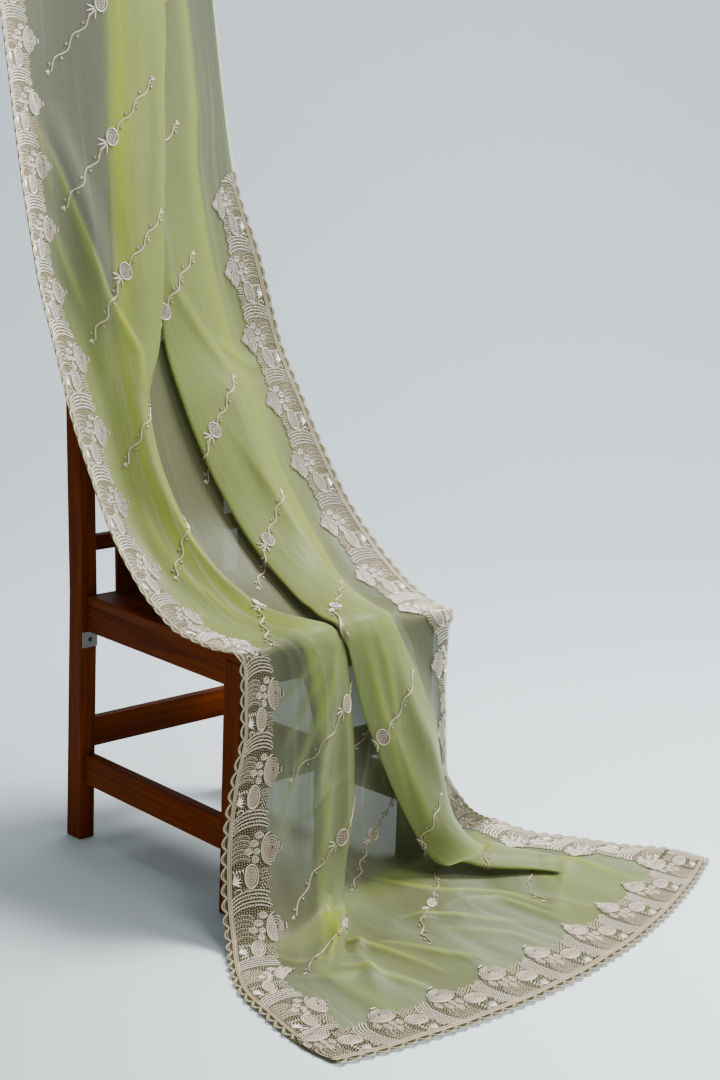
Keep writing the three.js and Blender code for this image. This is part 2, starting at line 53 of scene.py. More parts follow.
# Cross lines of the cloth: its left and right ends, the way that a fold stands off the line in
# degrees (0 up, 90 forwards, -90 back), and what moves the line in Y at its middle and beside the
# left border.
WHERE_COLUMNS = "xL xR yL yR zL zR lean bow bulge"
WHERE = {
    "tail": (-288, 182, 431, 431, 1470, 1470, -90, 0, 0),
    "pole_back": (-288, 182, 428, 428, 1640, 1640, -90, 0, 0),
    "pole_rear": (-288, 182, 422.1, 422.1, 1654.1, 1654.1, -45, 0, 0),
    "pole_top": (-288, 182, 408, 408, 1660, 1660, 0, 0, 0),
    "pole_front": (-288, 182, 393.9, 393.9, 1654.1, 1654.1, 45, 0, 0),
    "pole_fall": (-290, 182, 388, 388, 1640, 1640, 78, 0, 0),
    "high": (-306, 175, 340, 340, 1450, 1450, 76, 0, 0),
    "upper": (-312, 168, 300, 300, 1290, 1290, 76, 0, 0),
    "dome": (-314, 166, 270, 270, 1168, 1168, 76, 0, 0),
    "middle": (-302, 197, 240, 236, 1010, 1010, 78, 0, 0),
    "crest": (-280, 220, 216.4, 211, 885, 880, 76, 0, 0),
    "below": (-262, 229, 188, 145, 765, 765, 66, 0, 0),
    "swoop1": (-248, 238, 152, 85, 674, 672, 56, 0, 0),
    "swoop2": (-240, 246, 103, 22, 590, 586, 48, 0, 0),
    "swoop3": (-238, 252, 40, -42, 528, 528, 34, 0, 0),
    "swoop4": (-237, 257, -30, -100, 484, 487, 22, 0, 0),
    "seat_back": (-236, 257, -115, -165, 454, 461, 8, 0, 0),
    "seat": (-236, 257, -190, -212, 451.8, 452, 2, 0, 0),
    "brink": (-234, 256, -234, -234, 452.6, 452.6, 10, 0, 0),
    "brow": (-230, 256, -245.6, -245.6, 449.8, 449.8, 45, 0, 0),
    "over": (-227, 257, -249, -249, 440, 440, 80, 0, 0),
    "fall1": (-224, 268, -249.5, -250, 400, 400, 88, 0, 0),
    "fall2": (-224, 262, -251, -252, 330, 330, 90, 0, -2),
    "fall3": (-245, 258, -255, -255, 250, 250, 88, 0, -5),
    "fall4": (-266, 252, -262, -257, 160, 165, 86, 0, -14),
    "fall5": (-282, 300, -275, -248, 80, 95, 84, 0, -34),
    "landing": (-310, 420, -312, -208, 12, 20, 82, -20, -58),
    "floor1": (-360, 470, -400, -290, 0.6, 0.6, 28, -40, -30),
    "floor2": (-394, 520, -482, -375, 0.6, 0.6, 6, -24, 0),
    "floor3": (-406, 552, -534, -424, 0.6, 0.6, 0, -45, 0),
    "floor4": (-420, 580, -594, -462, 0.6, 0.6, 0, -70, 0),
    "floor5": (-428, 606, -658, -510, 0.6, 0.6, 0, -90, 0),
    "end": (-424, 614, -716, -562, 0.6, 0.6, 0, -100, 0),
}

# The folds on those lines. The left pleat folds under at A and back at A0, the right one at B and
# B0. P and Q are the inner edges of the borders. Lifts are heights of the pleats' middle layers,
# gap that of the next layer above, puffs crown the top layers, curls lift the edges, and the opens
# run from 1, folded, to 0, spread out flat.
FOLD_COLUMNS = "P A0 A B B0 Q liftA liftB gap puffA puffB curlL curlR openA openB"
FOLDS = {
    "tail": (-200, -68, 44, -30, 96, 120, 24, 8, 8, 5, 3, 6, 0, 1, 1),
    "pole_back": (-200, -68, 44, -30, 96, 118, 24, 8, 8, 4, 3, 6, 0, 1, 1),
    "pole_rear": (-200, -68, 44, -30, 96, 118, 24, 8, 8, 3, 3, 6, 0, 1, 1),
    "pole_top": (-200, -68, 44, -30, 96, 118, 24, 8, 8, 3, 3, 6, 0, 1, 1),
    "pole_front": (-200, -68, 44, -30, 96, 118, 24, 8, 8, 3, 3, 6, 0, 1, 1),
    "pole_fall": (-205, -70, 44, -30, 96, 118, 24, 8, 8, 4, 3, 8, 0, 1, 1),
    "high": (-226, -78, 42, -28, 112, 136, 24, 8, 8, 8, 3, 34, 0, 1, 1),
    "upper": (-238, -100, 14, -38, 104, 128, 24, 8, 8, 8, 3, 38, 0, 1, 1),
    "dome": (-240, -120, -7, -48, 86, 110, 25, 8, 8, 8, 4, 38, 6, 1, 1),
    "middle": (-238, -134, -30, -46, 94, 118, 25, 8, 8, 10, 9, 36, 14, 1, 1),
    "crest": (-204, -144, -48, -40, 122, 145, 16, 8, 8, 12, 16, 32, 16, 1, 1),
    "below": (-178, -147, -96, -30, 136, 156, 12, 10, 10, 12, 18, 28, 14, 1, 1),
    "swoop1": (-178, -149, -100, -18, 138, 162, 12, 10, 10, 12, 18, 24, 12, 1, 1),
    "swoop2": (-178, -140, -92, -2, 146, 172, 12, 10, 10, 14, 18, 20, 10, 1, 1),
    "swoop3": (-177, -132, -86, 4, 144, 170, 12, 10, 10, 14, 18, 14, 8, 1, 1),
    "swoop4": (-176, -120, -76, 10, 136, 170, 12, 10, 10, 12, 16, 4, 6, 1, 1),
    "seat_back": (-172, -106, -58, 4, 128, 164, 10, 12, 10, 10, 14, -2, 0, 1, 1),
    "seat": (-176, -105, -39, -18, 115, 162, 10, 14, 10, 10, 14, -4, -3, 1, 1),
    "brink": (-174, -110, -28, -32, 100, 160, 10, 17, 10, 9, 12, -1, -3, 1, 1),
    "brow": (-164, -110, -23, -30, 100, 168, 10, 18, 10, 9, 12, 0, -5, 1, 1),
    "over": (-150, -110, -17, -24, 106, 180, 10, 18, 10, 9, 12, 0, -8, 1, 1),
    "fall1": (-140, -104, -6, -12, 132, 204, 10, 19, 12, 10, 14, 0, -34, 1, 1),
    "fall2": (-142, -90, 2, 8, 170, 206, 12, 21, 12, 12, 16, 0, -36, 1, 1),
    "fall3": (-148, -88, 8, 40, 197, 216, 12, 25, 14, 14, 18, 0, -30, 1, 1),
    "fall4": (-160, -88, 2, 76, 205, 226, 14, 34, 14, 14, 18, 0, -10, 1, 1),
    "fall5": (-182, -98, -12, 112, 233, 254, 14, 48, 14, 14, 18, 0, 0, 1, 1),
    "landing": (-222, -118, -42, 168, 307, 332, 14, 60, 14, 12, 20, 0, 0, 1, 1),
    "floor1": (-262, -196, -122, 224, 348, 376, 10, 20, 11, 10, 18, 0, 0, 0.9, 0.95),
    "floor2": (-286, -258, -184, 318, 398, 426, 6, 9, 8, 8, 17, 0, 0, 0.7, 0.8),
    "floor3": (-298, -262, -190, 392, 438, 462, 4, 5, 6, 6, 12, 0, 0, 0.3, 0.5),
    "floor4": (-312, -205, -185, 420, 445, 488, 2, 2, 3, 3, 6, 0, 0, 0.1, 0.2),
    "floor5": (-330, -205, -185, 420, 450, 512, 0, 0, 0, 0, 0, 0, 0, 0, 0),
    "end": (-326, -205, -185, 420, 450, 520, 0, 0, 0, 0, 0, 0, 0, 0, 0),
}

# Creases, each a soft ridge or trough from one cross line to another: x at both ends, half its
# width, and its height.
CREASES = [
    ("upper", -215, "crest", -135, 22, 12),
    ("dome", -180, "below", -165, 16, 7),
    ("high", 20, "middle", -60, 15, 5),
    ("crest", 60, "swoop4", 96, 20, 8),
    ("over", -40, "fall5", -130, 18, 12),
    ("brow", -20, "landing", -40, 16, 9),
    ("over", 60, "fall5", 220, 20, 10),
    ("floor1", -100, "floor4", -230, 16, 12),
    ("floor1", 40, "floor5", -40, 22, 9),
    ("floor1", 120, "floor5", 160, 24, 10),
    ("floor2", 200, "floor5", 300, 20, 8),
]

# The chair's middle in the frame: the seat's middle, and halfway back from the front legs' faces.
CHAIR_DEPTH = 483
seat_low, seat_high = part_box("chair_seat")
legs_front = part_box("chair_leg_left")[0][1]
ORIGIN = np.array([(seat_low[0] + seat_high[0]) / 2, legs_front + CHAIR_DEPTH * MM / 2, 0])


def lengths_along():
    """Length of cloth down to each cross line: the mean of the steps of its left and right ends."""
    w = np.array(list(WHERE.values()), float)
    left, right = w[:, [0, 2, 4]], w[:, [1, 3, 5]]
    step = [np.linalg.norm(np.diff(edge, axis=0), axis=1) for edge in (left, right)]
    return np.concatenate([[0], np.cumsum((step[0] + step[1]) / 2)])


LENGTHS = lengths_along()
LENGTH_OF = dict(zip(WHERE, LENGTHS))
CLOTH_LENGTH = LENGTHS[-1]


def smooth_columns(table, names, length):
    """Each column of a table at the given lengths: a cubic through the rows whose slope at a row is
    the weighted harmonic mean of the slopes on both sides, or 0 where they differ in sign, so that
    it never passes a row's value."""
    y = np.array(list(table.values()), float)
    h = np.diff(LENGTHS)[:, None]
    d = np.diff(y, axis=0) / h
    a, b, before, after = d[:-1], d[1:], h[:-1], h[1:]
    p, q = 2 * after + before, after + 2 * before
    same = a * b > 0
    inner = np.where(same, (p + q) / (p / np.where(same, a, 1) + q / np.where(same, b, 1)), 0)
    slope = np.vstack([d[:1], inner, d[-1:]])
    i = np.clip(np.searchsorted(LENGTHS, length, side="right") - 1, 0, len(LENGTHS) - 2)
    step = h[i]
    t = ((length - LENGTHS[i])[:, None]) / step
    value = ((1 + 2 * t) * (1 - t) ** 2 * y[i] + t * (1 - t) ** 2 * step * slope[i]
             + t * t * (3 - 2 * t) * y[i + 1] + t * t * (t - 1) * step * slope[i + 1])
    return dict(zip(names.split(), value.T))


KNOT_CUTS = np.array([0, 30, 95, 140, 180, 235, 285, 297, 309, 350, 392, 402, 412, 455, 530, 610,
                      672, 684, 696, 750, 806, 818, 830, 885, 940, 975, 1005, 1070, 1100])
LAST_KNOT = len(KNOT_CUTS) - 1
VALLEY = 14                           # the knot between the two pleats
BORDER_KNOTS = 3                      # knots at each end that belong to a border
TIP_SHARE, TIP_MOST = 0.8, 0.3        # a fold's next knot stands in by 1 mm and this share of the
                                      # gap, and at most by this share of the pleat's width
LEFT_FOOT_OUT = 6                     # the left pleat's foot, outwards from halfway to the border
RIGHT_FOOT_IN, RIGHT_FOOT_OUT = 12, 14    # the right pleat's foot, to both sides of its fold
RIGHT_FOOT_GAPS = 26, 10              # and how far it keeps from the border
EDGE_CURL = 0.45                      # share of an edge's curl that its border's next knot keeps


def section_knots(w, f):
    """The cross section's knots, 29 rows, from the left edge to the right: distance along the cross
    line and height off it. Where a pleat opens, each is a mix of its folded and its flat place."""
    P, A0, A, B, B0, Q = (f[k] for k in "P A0 A B B0 Q".split())
    la, lb, gap, xL, xR = f["liftA"], f["liftB"], f["gap"], w["xL"], w["xR"]
    ta, tb = la + gap, lb + gap
    ea = np.minimum(gap * TIP_SHARE + 1, (A - A0) * TIP_MOST)
    eb = np.minimum(gap * TIP_SHARE + 1, (B0 - B) * TIP_MOST)
    ma, mb, zero = (A0 + A) / 2, (B0 + B) / 2, 0 * P
    x = np.array([xL, xL + 0.3 * (P - xL), P, (P + A0) / 2 - LEFT_FOOT_OUT, A0 + ea, ma, A - ea, A,
                  A - ea, ma, A0 + ea, A0, A0 + ea, ma, (A + B) / 2, mb, B0 - eb, B0, B0 - eb, mb,
                  B + eb, B, B + eb, mb, np.minimum(B0 - RIGHT_FOOT_IN, Q - RIGHT_FOOT_GAPS[0]),
                  np.minimum(B0 + RIGHT_FOOT_OUT, Q - RIGHT_FOOT_GAPS[1]), Q,
                  xR + 0.3 * (Q - xR), xR])
    left, right = f["curlL"], f["curlR"]
    height = np.array([left, np.maximum(left, 0) * EDGE_CURL, zero, ta * 0.15, ta,
                       ta + f["puffA"], ta, ta - gap / 2, la, la, la, la / 2, zero, zero, zero,
                       zero, zero, lb / 2, lb, lb, lb, lb + gap / 2, tb, tb + f["puffB"], tb,
                       tb * 0.3, zero, np.maximum(right, 0) * EDGE_CURL, right])
    knot = np.arange(LAST_KNOT + 1)[:, None]
    folded = np.where(knot < VALLEY, f["openA"], f["openB"])
    folded = np.where(knot == VALLEY, (f["openA"] + f["openB"]) / 2, folded)
    folded = np.where((knot < BORDER_KNOTS) | (knot > LAST_KNOT - BORDER_KNOTS), 1, folded)
    flat = xL + (xR - xL) * KNOT_CUTS[:, None] / CUT_WIDTH
    return folded * x + (1 - folded) * flat, folded * height


def spline(knots, t):
    """Uniform cubic B-spline on rows of knots, with mirrored knots past both ends."""
    k = np.vstack([2 * knots[:1] - knots[1:2], knots, 2 * knots[-1:] - knots[-2:-1]])
    i = np.clip(np.floor(t).astype(int), 0, LAST_KNOT - 1)
    s = t - i
    weight = ((1 - s) ** 3, 3 * s ** 3 - 6 * s * s + 4, -3 * s ** 3 + 3 * s * s + 3 * s + 1, s ** 3)
    column = np.arange(len(t))
    return sum(weight[j] * k[i + j, column] for j in range(4)) / 6


# Finer creases, which only the finished cloth has. Each is a line of points (length, x), its half
# widths towards smaller and larger x, its height, and how much denser the cloth looks along it.
FINE_CREASES = [
    (((644, -238), (723, -213), (856, -180), (923, -161), (1033, -105), (1110, -109)),
     34, 5, 6, 2.0),
    (((789, -245), (870, -222), (960, -190)), 12, 8, 3, 0.9),
    (((560, -262), (640, -246), (760, -236)), 10, 10, 3, 1.0),
    (((900, -20), (1010, 40), (1120, 105)), 14, 10, 4, 0.7),
    (((1020, 60), (1060, 120), (1075, 170)), 8, 12, 4, 0.6),
    (((1180, 40), (1330, 84), (1500, 112)), 12, 20, 4, 0.8),
    (((1240, -120), (1400, -110), (1560, -84)), 9, 16, 3, 0.7),
    (((1300, -165), (1450, -150), (1600, -120)), 14, 9, 3, 0.7),
    (((1712, -39), (1828, -86), (2028, -174)), 16, 8, 6, 1.3),
    (((1709, -76), (1807, -153)), 12, 12, 5, 1.0),
    (((1720, -66), (1891, -148)), 8, 12, 4, 0.9),
    (((1923, -30), (2028, -184)), 14, 7, 4, 0.6),
    (((1935, -62), (2060, -86)), 9, 9, 4, 0.8),
    (((1700, 6), (1851, 53), (2008, 101)), 9, 14, 6, 1.2),
    (((1703, 41), (1871, 82)), 9, 12, 5, 1.1),
    (((1854, 68), (2109, 156)), 10, 14, 5, 1.0),
    (((2176, 49), (2324, 164), (2483, 231)), 7, 30, 9, 2.6),
    (((2266, -148), (2489, -90)), 9, 18, 9, 1.8),
    (((2295, -9), (2480, 142)), 9, 22, 10, 2.0),
    (((2330, 90), (2400, 180), (2500, 205)), 9, 18, 8, 1.6),
    (((2393, -224), (2509, -146)), 8, 14, 8, 1.7),
    (((2361, -106), (2509, -12)), 8, 18, 9, 1.7),
    (((2400, 20), (2470, 90), (2530, 110)), 9, 14, 7, 1.4),
    (((2150, -82), (2240, -130), (2387, -222)), 9, 9, 9, 2.2),
    (((2234, -260), (2393, -224)), 12, 9, 5, 0.9),
    (((2360, -300), (2420, -250), (2440, -180), (2500, -150)), 9, 12, 5, 1.0),
    (((2489, 190), (2452, 280), (2416, 366), (2422, 526)), 14, 9, 4, 0.5),
    (((2380, 330), (2440, 420), (2500, 440)), 10, 14, 5, 1.4),
]
DENSE_WIDTH = 5.5                     # half width of the line along which a crease looks denser


def run_along(points):
    """Distance from the first point to each, down a row of points."""
    return np.concatenate([[0], np.cumsum(np.linalg.norm(np.diff(points, axis=0), axis=1))])


def fine_creases(length, x):
    """Height and density of the fine creases: a bell across each line, wider on its soft side, that
    fades towards both ends of the line."""
    height, density = np.zeros((2, len(x)))
    for line, low_side, high_side, rise, dense in FINE_CREASES:
        line = np.array(line, float)
        steps = np.linalg.norm(np.diff(line, axis=0), axis=1)
        runs = np.concatenate([[0], np.cumsum(steps)]) / steps.sum()
        away, share, side = np.full(len(x), np.inf), np.zeros(len(x)), np.ones(len(x))
        for a, step, run, stop in zip(line[:-1], np.diff(line, axis=0), runs[:-1], runs[1:]):
            k = np.clip(((length - a[0]) * step[0] + (x - a[1]) * step[1]) / (step @ step), 0, 1)
            d = np.hypot(length - a[0] - k * step[0], x - a[1] - k * step[1])
            nearer = d < away
            away = np.where(nearer, d, away)
            share = np.where(nearer, run + (stop - run) * k, share)
            turn = step[0] * (x - a[1]) - step[1] * (length - a[0])
            side = np.where(nearer, turn, side)
        fade = np.sin(np.pi * share) ** 0.6
        width = np.where(side < 0, low_side, high_side)
        height += rise * fade * np.exp(-((away / width) ** 2))
        density += dense * fade * np.exp(-((away / DENSE_WIDTH) ** 2))
    return height, density


SWELL = 1.3                           # mean and half range of the slow swell


def crease_height(length, x):
    """Sum of the creases: along each, half a sine wave from end to end, and across it, a bell. The
    fine ones are added, with a slow swell, the product of two sine waves that run slantwise, which
    keeps the cloth from lying dead flat."""
    height = SWELL + SWELL * np.sin(length / 61 + x / 37) * np.sin(length / 143 - x / 58)
    for start, x_start, stop, x_stop, width, rise in CREASES:
        k = (length - LENGTH_OF[start]) / (LENGTH_OF[stop] - LENGTH_OF[start])
        k = np.clip(k, 0, 1)
        off_line = x - x_start - (x_stop - x_start) * k
        height += rise * np.sin(np.pi * k) * np.exp(-((off_line / width) ** 2))
    return height + fine_creases(length, x)[0]


BULGE_WIDTH = 90                      # half width of the bulge beside the left border


def cloth_point(length, t):
    """The cloth at a length down it and a place t across it, in knots: the point of its cross line,
    raised by the section's height and the creases, in the line's own lean."""
    w = smooth_columns(WHERE, WHERE_COLUMNS, length)
    f = smooth_columns(FOLDS, FOLD_COLUMNS, length)
    x_knots, height_knots = section_knots(w, f)
    x, height = spline(x_knots, t), spline(height_knots, t)
    height = height + crease_height(length, x)
    k = (x - w["xL"]) / (w["xR"] - w["xL"])
    bulge = w["bulge"] * np.exp(-(((x - f["P"]) / BULGE_WIDTH) ** 2))
    y = w["yL"] + (w["yR"] - w["yL"]) * k + w["bow"] * 4 * k * (1 - k) + bulge
    z = w["zL"] + (w["zR"] - w["zL"]) * k
    lean = np.radians(w["lean"])
    return np.stack([x, y - height * np.sin(lean), z + height * np.cos(lean)], axis=1)


def cloth_normal(length, t):
    """Unit normal on the side that is seen: the cross product of small steps along and across."""
    along = cloth_point(length + 4, t) - cloth_point(length - 4, t)
    across = cloth_point(length, t + 0.1) - cloth_point(length, t - 0.1)
    normal = np.cross(along, across)
    return normal / np.linalg.norm(normal, axis=1, keepdims=True)


def on_cloth(length, t, height=0):
    """Points standing at a height over the cloth's middle, in metres, in the frame."""
    point = cloth_point(length, t) + cloth_normal(length, t) * np.reshape(height, (-1, 1))
    return point * MM + ORIGIN


LENGTH_STEPS = np.linspace(0, CLOTH_LENGTH, 440)
KNOT_STEPS = np.linspace(0, LAST_KNOT, 561)
ACROSS = np.arange(0, CUT_WIDTH + 1, 2.0)


def measure_across():
    """For each length step, the place in knots at each step of distance across the cut cloth. What
    each border measures on the form is scaled to the border's cut width, and what lies between
    them to the rest. Also how long a line inside each border is, down to each length step."""
    length, t = np.meshgrid(LENGTH_STEPS, KNOT_STEPS, indexing="ij")
    points = cloth_point(length.ravel(), t.ravel()).reshape(*length.shape, 3)
    arc = np.cumsum(np.linalg.norm(np.diff(points, axis=1), axis=2), axis=1)
    arc = np.hstack([np.zeros((len(arc), 1)), arc])
    inner_left, inner_right = (np.searchsorted(KNOT_STEPS, k) for k in (2, LAST_KNOT - 2))
    whole = arc[:, -1:]
    p, q = arc[:, inner_left, None], arc[:, inner_right, None]
    field = BAND + (CUT_WIDTH - 2 * BAND) * (arc - p) / (q - p)
    across = np.where(arc < p, BAND * arc / p, field)
    across = np.where(arc > q, CUT_WIDTH - BAND * (whole - arc) / (whole - q), across)
    place = np.array([np.interp(ACROSS, row, KNOT_STEPS) for row in across])
    in_borders = (inner_left // 2, (inner_right + len(KNOT_STEPS)) // 2)
    return place, [run_along(points[:, k]) for k in in_borders]


PLACE_AT, (LEFT_RUN, RIGHT_RUN) = measure_across()


def look_up(table, rows, columns):
    """Bilinear look-up in a table at fractional rows and columns."""
    rows = np.clip(rows, 0, table.shape[0] - 1.001)
    columns = np.clip(columns, 0, table.shape[1] - 1.001)
    i, j = rows.astype(int), columns.astype(int)
    a, b = rows - i, columns - j
    return ((1 - a) * ((1 - b) * table[i, j] + b * table[i, j + 1])
            + a * ((1 - b) * table[i + 1, j] + b * table[i + 1, j + 1]))


def knots_at(length, across):
    """Place across the cloth, in knots, of points given by length and distance from the left edge.
    A little past an edge, the place goes on at the same rate."""
    row = length / CLOTH_LENGTH * (len(LENGTH_STEPS) - 1)
    inside = np.clip(across, 0, CUT_WIDTH)
    t = look_up(PLACE_AT, row, inside / ACROSS[1])
    rate = np.where(across < 0, look_up(PLACE_AT, row, 0 * row + 1) / ACROSS[1],
                    (LAST_KNOT - look_up(PLACE_AT, row, 0 * row + len(ACROSS) - 2)) / ACROSS[1])
    return t + (across - inside) * rate


def grid_faces(rows, columns):
    """Quads of a grid whose points are stored row after row."""
    a = (np.arange(rows - 1)[:, None] * columns + np.arange(columns - 1)).ravel()
    return np.stack([a, a + columns, a + columns + 1, a + 1], axis=1)


def make_mesh(name, points, faces, uv=None):
    """A smooth mesh object from arrays. uv gives one pair for each point."""
    mesh = bpy.data.meshes.new(name)
    mesh.vertices.add(len(points))
    mesh.vertices.foreach_set("co", np.ravel(points).astype(np.float32))
    size = faces.shape[1]
    mesh.loops.add(faces.size)
    mesh.loops.foreach_set("vertex_index", np.ravel(faces).astype(np.int32))
    mesh.polygons.add(len(faces))
    mesh.polygons.foreach_set("loop_start", np.arange(0, faces.size, size, dtype=np.int32))
    mesh.update(calc_edges=True)
    mesh.polygons.foreach_set("use_smooth", np.ones(len(faces), bool))
    if uv is not None:
        layer = mesh.uv_layers.new(name="cloth")
        layer.data.foreach_set("uv", np.ravel(uv[np.ravel(faces)]).astype(np.float32))
    piece = bpy.data.objects.new(name, mesh)
    bpy.context.collection.objects.link(piece)
    return piece


def set_attribute(piece, name, values):
    """One number for each point, which a material can read."""
    attribute = piece.data.attributes.new(name, "FLOAT", "POINT")
    attribute.data.foreach_set("value", np.ravel(values).astype(np.float32))


class Val:
    """A shader socket that takes part in Python arithmetic. Each operation adds a Math node."""

    def __init__(self, tree, socket):
        self.tree = tree
        self.socket = socket

    def node(self, kind, settings=None, inputs=None, out=0):
        """Any node: its settings are set first, then its sockets' values or links."""
        node = self.tree.nodes.new(kind)
        for key, value in (settings or {}).items():
            if key == "stops":
                ramp = node.color_ramp.elements
                while len(ramp) < len(value):
                    ramp.new(0.5)
                for element, (place, colour) in zip(ramp, value):
                    element.position = place
                    element.color = colour
            else:
                setattr(node, key, value)
        for key, value in (inputs or {}).items():
            if isinstance(value, Val):
                self.tree.links.new(value.socket, node.inputs[key])
            else:
                node.inputs[key].default_value = value
        return Val(self.tree, node.outputs[out])

    def math(self, operation, *values):
        """A Math node on these values, in their order."""
        return self.node("ShaderNodeMath", {"operation": operation}, dict(enumerate(values)))

    def __add__(self, other):
        return self.math("ADD", self, other)

    def __sub__(self, other):
        return self.math("SUBTRACT", self, other)

    def __mul__(self, other):
        return self.math("MULTIPLY", self, other)

    def __truediv__(self, other):
        return self.math("DIVIDE", self, other)

    def __radd__(self, other):
        return self.math("ADD", other, self)

    def __rsub__(self, other):
        return self.math("SUBTRACT", other, self)

    def __rmul__(self, other):
        return self.math("MULTIPLY", other, self)

    def between(self, low, high):
        """0 below low, 1 above high, and a smooth step from one to the other."""
        settings = {"interpolation_type": "SMOOTHSTEP"}
        return self.node("ShaderNodeMapRange", settings, {0: self, 1: low, 2: high})

    def mix(self, first, second):
        """A colour: first where this is 0, second where it is 1."""
        sockets = {0: self, 6: first, 7: second}
        return self.node("ShaderNodeMix", {"data_type": "RGBA"}, sockets, out=2)

    def noise(self, scale, detail=2.0):
        """Soft noise from 0 to 1 on this vector, scale to the unit."""
        sockets = {"Vector": self, "Scale": scale, "Detail": detail}
        return self.node("ShaderNodeTexNoise", None, sockets)

    def stretched(self, scales):
        """This vector with each axis scaled by its own factor."""
        return self.node("ShaderNodeMapping", None, {"Vector": self, "Scale": scales})

    def bump(self, strength, distance, **settings):
        """The normal of a surface that this height moves by up to the distance, in metres."""
        sockets = {"Strength": strength, "Distance": distance, "Height": self}
        return self.node("ShaderNodeBump", settings, sockets)

    def attribute(self, name):
        """The number that a mesh holds for each point under this name."""
        return self.node("ShaderNodeAttribute", {"attribute_name": name}, out=2)


def new_material(name):
    """An empty material: its tree, its Principled node, and a Val to build on."""
    material = bpy.data.materials.new(name)
    material.use_nodes = True
    tree = material.node_tree
    tree.nodes.clear()
    shader = tree.nodes.new("ShaderNodeBsdfPrincipled")
    output = tree.nodes.new("ShaderNodeOutputMaterial")
    tree.links.new(shader.outputs[0], output.inputs[0])
    return material, shader, Val(tree, None)


def drive(shader, **sockets):
    """Sets or links the shader's sockets: base_color=... is the socket Base Color."""
    for key, value in sockets.items():
        socket = shader.inputs[key.replace("_", " ").title().replace("Ior", "IOR")]
        if isinstance(value, Val):
            value.tree.links.new(value.socket, socket)
        else:
            socket.default_value = value


def organza_material():
    """Sheer plain weave, by the layers of cloth that lie over each other. A single layer is a
    grey-green veil, three are the light green of the yarn, and folds turn yellow-green. Painted
    sheen runs down it in soft pale streaks and lies in pale clouds on the floor part; fine yarns
    and long wrinkles make the bump. A little of the colour is given off as light, for what passes
    through the layers from behind."""
    material, shader, v = new_material("organza")
    uv = v.node("ShaderNodeUVMap", {"uv_map": "cloth"})
    layers = v.attribute("layers")
    streaks = uv.stretched((70, 0.9, 1)).noise(1.0, 2)
    clouds = uv.stretched((9, 2.2, 1)).noise(1.0, 3)
    grain = uv.noise(420.0, 1)
    looked = layers * (0.84 + clouds * 0.32)
    stops = [(0.20, (0.068, 0.070, 0.037, 1)), (0.40, (0.112, 0.128, 0.048, 1)),
             (0.60, (0.164, 0.198, 0.054, 1)), (0.86, (0.208, 0.246, 0.026, 1))]
    body = v.node("ShaderNodeValToRGB", {"stops": stops}, {"Fac": looked / 5.0})
    along = v.node("ShaderNodeSeparateXYZ", None, {"Vector": uv}, out=1)
    on_floor = along.between(1.75, 1.95)      # metres down the cloth
    # Painted sheen: pale streaks down the cloth, and pale clouds on its floor part, mixed into the
    # colour.
    painted_sheen = streaks.between(0.55, 0.80) * clouds.between(0.35, 0.65) * 0.34
    pale = (painted_sheen + on_floor * clouds.between(0.42, 0.70) * 0.26).mix(body, (0.290, 0.345, 0.262, 1))
    colour = (grain.between(0.35, 0.75) * 0.05).mix(pale, (0.50, 0.54, 0.34, 1))
    alpha = 0.935 + looked.between(0.8, 2.4) * 0.055
    weave = uv.stretched((300, 300, 1)).noise(1.0, 2)
    wrinkle = uv.stretched((24, 4, 1)).noise(1.0, 4)
    height = weave * 0.07 + wrinkle * 0.9
    drive(shader, base_color=colour, alpha=alpha, roughness=0.40, normal=height.bump(0.55, 0.005),
          emission_color=colour, emission_strength=0.16, specular_ior_level=0.10)
    return material


# Layers of cloth that lie over each other, at some of the cross lines: in the left field, the left
# pleat, the valley between the pleats, the right pleat and the right field.
FULLNESS = {
    "tail": (1, 2.8, 1, 2.0, 1),
    "high": (1, 2.8, 1.2, 1.9, 1),
    "dome": (1.4, 2.9, 1.6, 2.2, 1.3),
    "middle": (1.8, 2.9, 1.5, 2.7, 2.0),
    "crest": (2.5, 2.9, 1.4, 2.9, 2.5),
    "below": (2.8, 2.9, 1.35, 2.8, 2.6),
    "swoop2": (2.8, 2.9, 1.35, 2.8, 2.0),
    "swoop4": (2.8, 2.9, 1.3, 2.9, 1.4),
    "seat": (2.9, 2.9, 1.3, 2.9, 1.5),
    "brink": (2.4, 3, 2.2, 3, 1.5),
    "over": (1.0, 2.2, 1.6, 2.6, 1),
    "fall3": (1, 2.0, 1, 2.4, 1),
    "landing": (1.0, 2.2, 1.2, 2.5, 1.2),
    "floor1": (1.4, 2.2, 1.5, 2.7, 1.6),
    "floor3": (1.7, 2.0, 1.8, 2.6, 2.3),
    "end": (1.9, 1.9, 2.0, 2.3, 2.3),
}
# The first and the last knot of each of those columns. Between them it changes evenly.
FULLNESS_KNOTS = (0, 3.75, 4.0, 12.8, 13.4, 15.0, 15.6, 24.1, 24.4, 28)
DOUBLED = FINE_CREASES[0][0]          # the left field is doubled only to the left of this line
DOUBLED_BLEND = 12                    # and becomes single over this width
OUTER_EDGES = 4.1, 24.0               # knots along which both pleats' outer edges look denser
RIGHT_TIP = 21.3                      # and the one along which the right pleat's inner edge does
LEAST_FACING = 0.45                   # steeper cloth than this looks no denser


